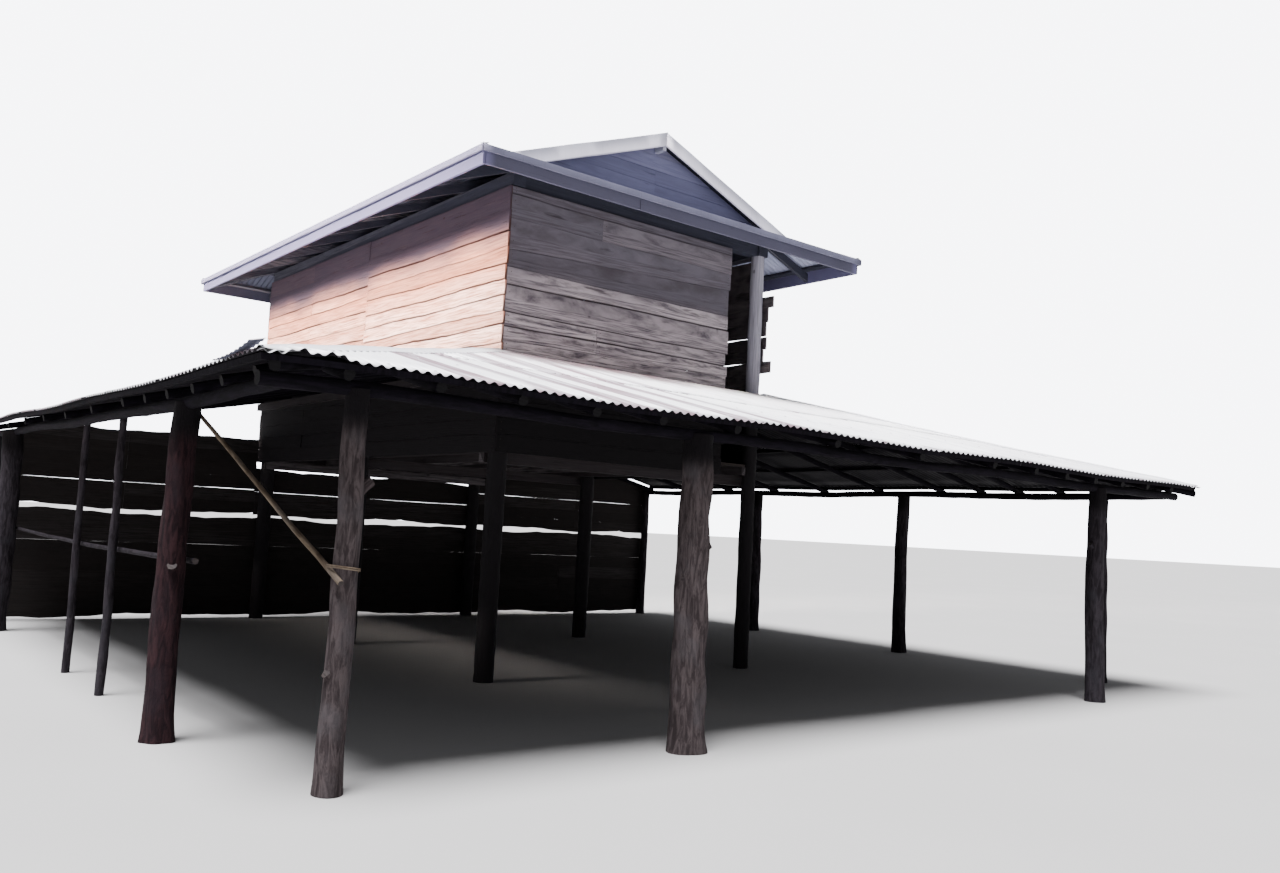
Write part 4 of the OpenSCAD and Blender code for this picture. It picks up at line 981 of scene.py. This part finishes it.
def log(shape, path, radii, seed, sides, rough, tint=(0.5, 0.5, 0.5), end_slot=1, swell=0.05,
        peeled=False):
    """A round log along path, with radii to match, lumpy as wood is. The UV map of a peeled one has
    its first axis along the grain, as boards have, and the others have it around the bark."""
    dice = rng(seed)
    ahead = unit(np.gradient(path, axis=0))
    side = unit(np.cross(ahead, (0.13, 0.11, 0.98) if abs(ahead[0][2]) < 0.8 else (0.98, 0.11, 0.13)))
    other = np.cross(ahead, side)
    far = distances(path)
    a, s = np.meshgrid(circle(sides), far)
    lumps = swell * np.sin(3 * a + 1.7 * s + dice.uniform(0, 6))
    for k in range(5):
        lumps += rough / (k + 1) * np.sin(
            int(dice.integers(1, 6)) * a + s * dice.uniform(3, 14) + dice.uniform(0, 6))
    r = radii[:, None] * (1 + lumps)
    points = (path[:, None] + (r * np.cos(a))[..., None] * side[:, None]
              + (r * np.sin(a))[..., None] * other[:, None])
    around = np.linspace(0, 1, sides + 1) * 2 * np.pi * radii.mean() + dice.uniform(0, 20)
    uvs = uv_map(far + dice.uniform(0, 20), around)
    shape.tube(points, uvs if peeled else uvs[..., ::-1], tint, end_slot)


def stub(shape, spot, turn, radius, reach, seed):
    """The sawn stub of a branch that leaves a post at a spot, turned to face turn degrees."""
    a, rise = radians(turn), radians(42)
    way = np.array((cos(a) * cos(rise), sin(a) * cos(rise), sin(rise)))
    t = np.linspace(0, reach, 7)
    radii = radius * (1.35 - 0.45 * np.clip(t / reach * 1.6, 0, 1))
    log(shape, np.array(spot) + t[:, None] * way, radii, seed, 12, 0.05)


def post(shape, x, y, height, r0, r1, turn, seed, stubs):
    """A log post on the ground that bends a little towards turn degrees, with its stubs, each a
    height, facing, radius and reach."""
    t, a = np.linspace(0, 1, 36), radians(turn)
    bend = np.sin(np.pi * t) * r0 * 0.16
    path = np.stack([x + bend * cos(a), y + bend * sin(a), t * height], axis=-1)
    radii = r0 + (r1 - r0) * t ** 0.7 + 0.10 * r0 * np.exp(-t * 22)
    tints = np.full((len(t), 28, 3), 0.5)
    # Each post's top goes black: painted shade under the lean-to roof
    tints[..., 1] = np.interp(path[:, 2], (height - 0.34, height - 0.16), (0.5, -0.8))[:, None]
    log(shape, path, radii, seed, 28, 0.05, tints)
    for k, (z, facing, radius, reach) in enumerate(stubs):
        stub(shape, (x, y, z), facing, radius, reach, seed + 50 + k)


def beam_height(side):
    """Height of an eave beam's middle line under a lean-to slope."""
    below, up = RAFTER_TOP + 2 * RAFTER_R + BEAM_R, LEAN[side].up
    pitch = up[2] / hypot(up[0], up[1])
    return LEAN_EAVE + INSET * pitch - below * hypot(1, pitch)


FRONT_Y, LEFT_X, RIGHT_X = -FRONT_OUT + INSET, -LEFT_OUT + INSET, WIDTH + RIGHT_OUT - INSET
FRONT_BEAM, LEFT_BEAM, RIGHT_BEAM = (beam_height(side) for side in LEAN)


def settled_z(x, y, z):
    return float(settle(np.array((x, y, z), float))[2])


def lean_posts():
    def posts(node, material, *each):
        shape = Shape()
        for x, y, z, r0, r1, turn, seed, stubs in each:
            post(shape, x, y, settled_z(x, y, z), r0, r1, turn, seed, stubs)
        piece(node.replace("post", "log"), shape, [material, "end"], "log_posts", [node], crease=50)

    posts("post_front_left", "pale_bark",
          (FRONT_LEFT_X, FRONT_Y, FRONT_BEAM, 0.082, 0.070, 20, 201,
           [(1.69, 0, 0.040, 0.17), (0.62, 200, 0.03, 0.10)]))
    posts("post_front_middle", "pale_bark",
          (-0.17, FRONT_Y, FRONT_BEAM, 0.140, 0.112, 200, 202,
           [(1.93, 15, 0.042, 0.16), (1.18, 190, 0.042, 0.16), (1.42, 350, 0.05, 0.15),
            (0.80, 20, 0.045, 0.15)]))
    posts("post_front_right", "grey_bark",
          (WIDTH + 1.99, FRONT_Y, FRONT_BEAM, 0.100, 0.088, 80, 203, [(1.60, 170, 0.030, 0.15)]))
    posts("post_left_front", "red_bark",
          (LEFT_X, -1.44, LEFT_BEAM, 0.100, 0.088, 130, 204, [(1.1, 250, 0.035, 0.13)]))
    posts("posts_left_back", "grey_bark",
          (-3.372, LENGTH - 1.25, LEFT_BEAM, 0.120, 0.108, 300, 205, [(1.3, 200, 0.04, 0.16)]),
          (LEFT_X, BACK_POSTS_Y, LEFT_BEAM, 0.075, 0.067, 60, 206, []))
    rows = np.linspace(-2.40, BACK_POSTS_Y, 4)
    posts("posts_right", "grey_bark",
          *((RIGHT_X, rows[k], RIGHT_BEAM, 0.100, 0.088, 40 + 90 * k, 207 + k,
             [(1.2 + 0.2 * k, 90 * k, 0.03, 0.13)]) for k in range(3)),
          (RIGHT_X, rows[3], RIGHT_BEAM, 0.075, 0.067, 310, 210, []))


def shaded_below(z, sides, shade):
    """The tint of a post with rings at heights z, painted black below the lean-to roof for shade."""
    tints = np.full((len(z), sides, 3), shade)
    tints[..., 1] = np.interp(z, (LEAN_TOP - 0.12, LEAN_TOP - 0.04), (-0.75, 0.5))[:, None]
    tints[..., 2] = 0.0
    return tints


def hewn_posts():
    """The granary's own posts: eight flats with the marks of the adze, and at the open bay a log."""
    shape = Shape()
    low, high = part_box("granary_posts")[0].z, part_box("granary_posts")[1].z
    z = np.linspace(low, high, 50)
    bay = np.stack([np.full(50, WIDTH - WALL_T - BAY_POST_INSET), np.full(50, BAY_POST_R), z], axis=-1)
    log(shape, bay, BAY_POST_R - 0.006 * (z - low) / high, 219, 24, 0.035, shaded_below(z, 24, 0.2),
        swell=0.02, peeled=True)
    z = np.linspace(low, high, 60)
    for i, x in enumerate((WALL_T + HEWN / 2, WIDTH - WALL_T - HEWN / 2)):
        for j, y in enumerate(POST_ROWS):
            if (i, j) == (1, 0):
                continue
            dice = rng(220 + 3 * i + j)
            a, s = np.meshgrid(circle(16) + np.pi / 16, z)
            flat = (HEWN / 2) / np.cos((a + np.pi / 8) % (np.pi / 4) - np.pi / 8)
            mark = ripple(s + a * 0.05, 230 + i + j, 0.31, 0.0028) + dice.normal(0, 0.0008, a.shape)
            r = flat + mark - 0.002
            points = np.stack([x + r * np.cos(a), y + r * np.sin(a), s], axis=-1)
            shape.tube(points, uv_map(z + 7 * j, np.linspace(0, 0.66, 17) + i),
                       shaded_below(z, 16, dice.uniform()), 1)
    piece("hewn_posts", shape, ["hewn", "end"], "hewn_timber", ["granary_posts"], crease=25)


def pole(shape, start, end, r0, r1, seed, sag=0.0, bend=0.012, rough=0.05, sunk=True):
    """A pole from start to end, a little crooked."""
    way = np.subtract(end, start)
    length = np.linalg.norm(way)
    t = np.linspace(0, 1, max(8, int(length / POLE_STEP)))
    path, bow = start + t[:, None] * way, np.sin(np.pi * t)
    for axis, period, size, drop in ((0, 2.7, bend, 0.0), (1, 2.9, bend, 0.0),
                                     (2, 2.3, bend * 0.4, sag)):
        path[:, axis] += ripple(t * length, seed + axis, period, size) * bow - drop * bow
    if sunk:
        path = settle(path)
    log(shape, path, r0 + (r1 - r0) * t, seed, 10, rough)


def poles(name, shape, node):
    piece(name, shape, ["pole", "under_end"], "poles", [node], crease=50)


def commons(length, count, first):
    """Places of common rafters, evenly along a wall, as far from its end as first from its start."""
    return [first + i * (length - 2 * first) / (count - 1) for i in range(count)]


def jacks(reach, step=0.60):
    """How far past the granary each jack rafter stands, over a lean-to that goes out by reach."""
    return [d * step for d in range(1, int((reach - 0.08) / step) + 1)]


def rafter_poles():
    """Round rafters: commons over the granary's sides and jacks that end at the hips."""
    def row(side, places, top_of, seed, foot=0.15):
        shape, plane = Shape(), LEAN[side]
        for k, x in enumerate(places):
            ends = plane.at(x, (foot, top_of(x) * plane.length - 0.02), -(RAFTER_TOP + RAFTER_R))
            pole(shape, *ends, 0.037, 0.040, seed + 3 * k, rough=0.04)
        poles(side + "_poles", shape, side + "_rafters")

    def reach(over, run):
        """The part of a slope's length that a rafter covers, over by so much past the granary."""
        return 1.0 if over <= 0 else max(0.0, 1 - over / run - 0.02)

    fronts = commons(WIDTH, 4, 0.15) + [-d for d in jacks(LEFT_OUT)]
    fronts += [WIDTH + d for d in jacks(RIGHT_OUT)]
    sides = commons(LENGTH, 7, 0.07) + [-d for d in jacks(FRONT_OUT)]
    row("front", fronts, lambda x: reach(-x, LEFT_OUT) if x < 0 else reach(x - WIDTH, RIGHT_OUT), 301)
    row("left", [-y for y in sides], lambda x: reach(x, FRONT_OUT), 401)
    row("right", sides, lambda x: reach(-x, FRONT_OUT), 501, foot=0.03)

    shape = Shape()
    drop = (RAFTER_TOP + RAFTER_R) / cos(HIP_PITCH)
    for hip, top, back, seed in ((LEFT_HIP, -0.03, 0.22, 601), (RIGHT_HIP, WIDTH + 0.03, 0.06, 602)):
        x, y, _ = hip[0]
        dx, dy = top - x, -0.03 - y
        run = hypot(dx, dy)
        start = (x + dx * back / run, y + dy * back / run, LEAN_EAVE + 0.2 * back - drop)
        pole(shape, start, (top, -0.03, LEAN_TOP - drop), 0.038, 0.041, seed)
    poles("hip_poles", shape, "hip_rafters")


def eave_beams():
    """Poles below the rafters near the eaves, the front one in two lengths that lap."""
    shape = Shape()
    thick, thin = THICK_BEAM_R, THIN_BEAM_R
    for x0, x1, r0, r1, seed in ((-LEFT_OUT + 0.10, 2.2, thick, thin, 611),
                                 (1.9, WIDTH + RIGHT_OUT - 0.10, thin, thick, 614)):
        pole(shape, (x0, FRONT_Y, FRONT_BEAM), (x1, FRONT_Y, FRONT_BEAM), r0, r1, seed, bend=0.006)
    poles("front_beam_poles", shape, "eave_beam_front")
    shape = Shape()
    for x, z, seed in ((LEFT_X, LEFT_BEAM, 617), (RIGHT_X, RIGHT_BEAM, 623)):
        pole(shape, (x, FRONT_Y + BEAM_R, z), (x, SCREEN_Y, z), thick, thin, seed, bend=0.006)
    poles("side_beam_poles", shape, "side_eave_beams")


def bar(shape, plane, x0, x1, y, width, top, height, seed):
    """A sawn batten along a slope, from x0 to x1, with its lower edge at y."""
    dice = rng(seed)
    x = np.linspace(x0, x1, max(4, int(abs(x1 - x0) / BAR_STEP)))
    soft = 0.004
    wander = ripple(x, seed, 3.3, 0.003)
    section = [(y + a + wander, b - top) for a, b in (
        (0, -height), (0, -soft), (soft, 0), (width - soft, 0), (width, -soft), (width, -height))]
    uv = dice.uniform(0, 30), dice.uniform(0, 30)
    sweep(shape, plane, x, section, 2 * (width + height), uv, dice.uniform(), 1)


def purlin_step(plane):
    return (plane.length - 0.06 - PURLIN_W) / (PURLINS - 1)


def battens():
    """Purlins under the lean-to sheets, in lengths that meet over the rafters."""
    for n, (side, plane) in enumerate(LEAN.items()):
        shape, (x0, x1) = Shape(), LEAN_SPAN[side]
        for i in range(PURLINS):
            parts = (0.30 + 0.05 * (i % 2), 0.66 + 0.04 * (i % 3))
            stops = [x0] + [x0 + (x1 - x0) * part for part in parts] + [x1]
            for k, (a, b) in enumerate(zip(stops, stops[1:])):
                bar(shape, plane, a, b - 0.003, 0.03 + i * purlin_step(plane), PURLIN_W, BATTEN_DROP,
                    PURLIN_H - 0.001, 640 + 20 * n + 4 * i + k)
        piece("battens_" + side, shape, ["pole", "under_end"], "sawn_battens",
              ["lean_purlins"] if side == "front" else [], hip_planes(side, LEAN_HIPS[side]), sunk=True)


def left_fence():
    """Two thin props with the rail, and the brace pole from corner to corner of its CAD box."""
    shape, prop_x, rail_x, rail_z = Shape(), -3.29, -3.228, 1.22
    for y, r, seed in ((0.54, 0.038, 701), (1.90, 0.036, 702)):
        top = (prop_x - 0.01, y, settled_z(prop_x, y, LEFT_BEAM))
        pole(shape, (prop_x, y, 0), top, r, r - 0.007, seed, bend=0.014, rough=0.08, sunk=False)
    pole(shape, (rail_x, -1.52, rail_z), (rail_x, 5.63, rail_z), 0.022, 0.018, 711, sag=0.03,
         bend=0.008, sunk=False)
    piece("props_and_rail", shape, ["grey_bark", "end"], "bamboo", ["left_fence"], crease=50)

    shape, in_x, in_y, in_z = Shape(), 0.015, 0.01, 0.015
    low, high = (np.array(corner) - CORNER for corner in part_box("brace_pole"))
    pole(shape, (high[0] - in_x, low[1] + in_y, low[2] + in_z),
         (low[0] + in_x, high[1] - in_y, high[2] - in_z), 0.018, 0.014, 721, bend=0.010, sunk=False)
    piece("brace_stick", shape, ["bamboo", "end"], "bamboo", ["brace_pole"], crease=50)


def lashing():
    """Two turns of twine round the front left post where the brace meets it."""
    shape, turns, radius, twine, height, slack = Shape(), 2, 0.094, 0.0048, 1.275, 0.012
    t = np.linspace(0, turns * 2 * np.pi, turns * 24)
    path = np.stack([FRONT_LEFT_X + radius * np.cos(t), FRONT_Y + radius * np.sin(t),
                     height + 2 * twine * t / (2 * np.pi) - slack * np.cos(t)], axis=-1)
    log(shape, path, np.full(len(t), twine), 731, 6, 0.02, end_slot=0)
    piece("lashing", shape, ["bamboo"], "bamboo", crease=50)


def roof_nails():
    """Nail heads on the crests over each batten of the lean-to, clear of its hips."""
    nails = []
    for side, plane in LEAN.items():
        x0, x1 = LEAN_SPAN[side]
        for i in range(PURLINS):
            for x in np.arange(ceil(x0 / WAVE) + 2, int(x1 / WAVE) - 1, 4) * WAVE:
                spot = plane.at(x, 0.06 + i * purlin_step(plane), 0.002)
                left, right = -spot[0] / LEFT_OUT, (spot[0] - WIDTH) / RIGHT_OUT
                front = -spot[1] / FRONT_OUT
                past = {"front": max(left, right) - front, "left": front - left, "right": front - right}
                if past[side] * LEAN_OUT[side] < -HIP_CLEAR:
                    nails.append((settle(spot), plane.out))
    nail_heads("roof_nails", nails, ROOF_NAIL, "zinc_flashing", "flashing")


# CAD nodes that keep their shape

def dress_cad():
    """Wood with its grain along each timber, and edges taken off, for the timbers that stay."""
    # The first two tone sets are kept dark: painted shade under the roofs
    shade_darkened = ((0.045, 0.037, 0.040), (0.026, 0.021, 0.023), (0.008, 0.006, 0.007), (0.040, 0.036, 0.040))
    slate = ((0.034, 0.036, 0.054), (0.026, 0.027, 0.040), (0.014, 0.015, 0.022), (0.033, 0.035, 0.05))
    pale = ((0.62, 0.62, 0.74), (0.46, 0.46, 0.56), (0.2, 0.2, 0.25), (0.55, 0.55, 0.66))
    for axis, tones, nodes in (("X", shade_darkened, ("floor_beams",)),
                               ("X", slate, ("tie_beams", "upper_rafters", "upper_purlins")),
                               ("Y", shade_darkened, ("floor_joists", "rafter_ledgers")),
                               ("Y", slate, ("wall_plates", "skirt_rafters")),
                               ("Y", pale, ("ridge_beam",)),
                               ("Z", slate, ("king_posts", "door_stud"))):
        material = wood("timber_of_" + nodes[0], *tones, axis, relief=0.002)
        for node in nodes:
            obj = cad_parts[node]
            obj.data.materials.clear()
            obj.data.materials.append(material)
            bevel = obj.modifiers.new("worn_edges", "BEVEL")
            bevel.width, bevel.limit_method = 0.004, "ANGLE"


# Camera, floor and light

FAR, AMBIENT, BACKDROP = 400, 0.40, 8.0
CAMERA_AT, CAMERA_LENS = (-7.5576, -11.1641, 1.60), 29.63
CAMERA_YAW, CAMERA_PITCH, CAMERA_ROLL = 51.0901, 5.0276, 3.0214


def camera():
    yaw, pitch, roll = (radians(a) for a in (CAMERA_YAW, CAMERA_PITCH, CAMERA_ROLL))
    forward = Vector((cos(yaw) * cos(pitch), sin(yaw) * cos(pitch), sin(pitch)))
    right = Vector((sin(yaw), -cos(yaw), 0))
    up = right.cross(forward)
    across = right * cos(roll) + up * sin(roll)
    upward = up * cos(roll) - right * sin(roll)
    data = bpy.data.cameras.new("camera")
    data.lens, data.sensor_width = CAMERA_LENS, 36.0
    obj = bpy.data.objects.new("camera", data)
    turn = Matrix((across, upward, -forward)).transposed().to_4x4()
    obj.matrix_world = Matrix.Translation(CAMERA_AT) @ turn
    link(obj)
    bpy.context.scene.camera = obj


def light(name, kind, energy, colour, towards, spot=(0, 0, 0)):
    """A lamp at a spot that shines towards a direction."""
    data = bpy.data.lights.new(name, kind)
    data.energy, data.color = energy, colour
    obj = bpy.data.objects.new(name, data)
    obj.location = spot
    obj.rotation_euler = Vector(towards).to_track_quat("-Z", "Y").to_euler()
    link(obj)
    return data


def studio():
    """A plain floor below a pale sky, a soft light from above and a warm one from the left."""
    mesh = bpy.data.meshes.new("floor")
    corners = [(-FAR, -FAR, 0), (FAR, -FAR, 0), (FAR, FAR, 0), (-FAR, FAR, 0)]
    mesh.from_pydata(corners, [], [(0, 1, 2, 3)])
    mesh.materials.append(plain_floor())
    ground = bpy.data.objects.new("floor", mesh)
    ground.location.z = -0.002
    link(ground)
    world = bpy.data.worlds.new("studio")
    bpy.context.scene.world = world
    world.use_nodes = True
    tree = world.node_tree
    background = tree.nodes["Background"]
    background.inputs["Color"].default_value = (0.93, 0.94, 1.0, 1.0)
    strength = tree.nodes.new("ShaderNodeMapRange")
    strength.inputs["To Min"].default_value = AMBIENT
    strength.inputs["To Max"].default_value = BACKDROP
    seen = tree.nodes.new("ShaderNodeLightPath").outputs["Is Camera Ray"]
    tree.links.new(seen, strength.inputs["Value"])
    tree.links.new(strength.outputs["Result"], background.inputs["Strength"])
    light("top", "SUN", 17.0, (0.97, 0.97, 1.0), (0.26, 0.08, -1.0)).angle = radians(28)
    key_at, wall_middle = Vector((-15, 2.2, 8.9)), Vector((0, 2.2, 4.1))
    key = light("key", "AREA", 1150, (1.0, 0.90, 0.84), wall_middle - key_at, key_at)
    key.shape, key.size, key.size_y, key.spread = "RECTANGLE", 10, 4.5, radians(22)


camera()
studio()
lean_roofs()
loose_sheet()
lean_flashings()
battens()
rafter_poles()
eave_beams()
lean_posts()
left_fence()
lashing()
roof_nails()
hewn_posts()
floor()
granary_walls()
upper_roofs()
skirts()
upper_flashings()
verges()
eave_strips()
fascia_boards()
gables()
screen()
dress_cad()
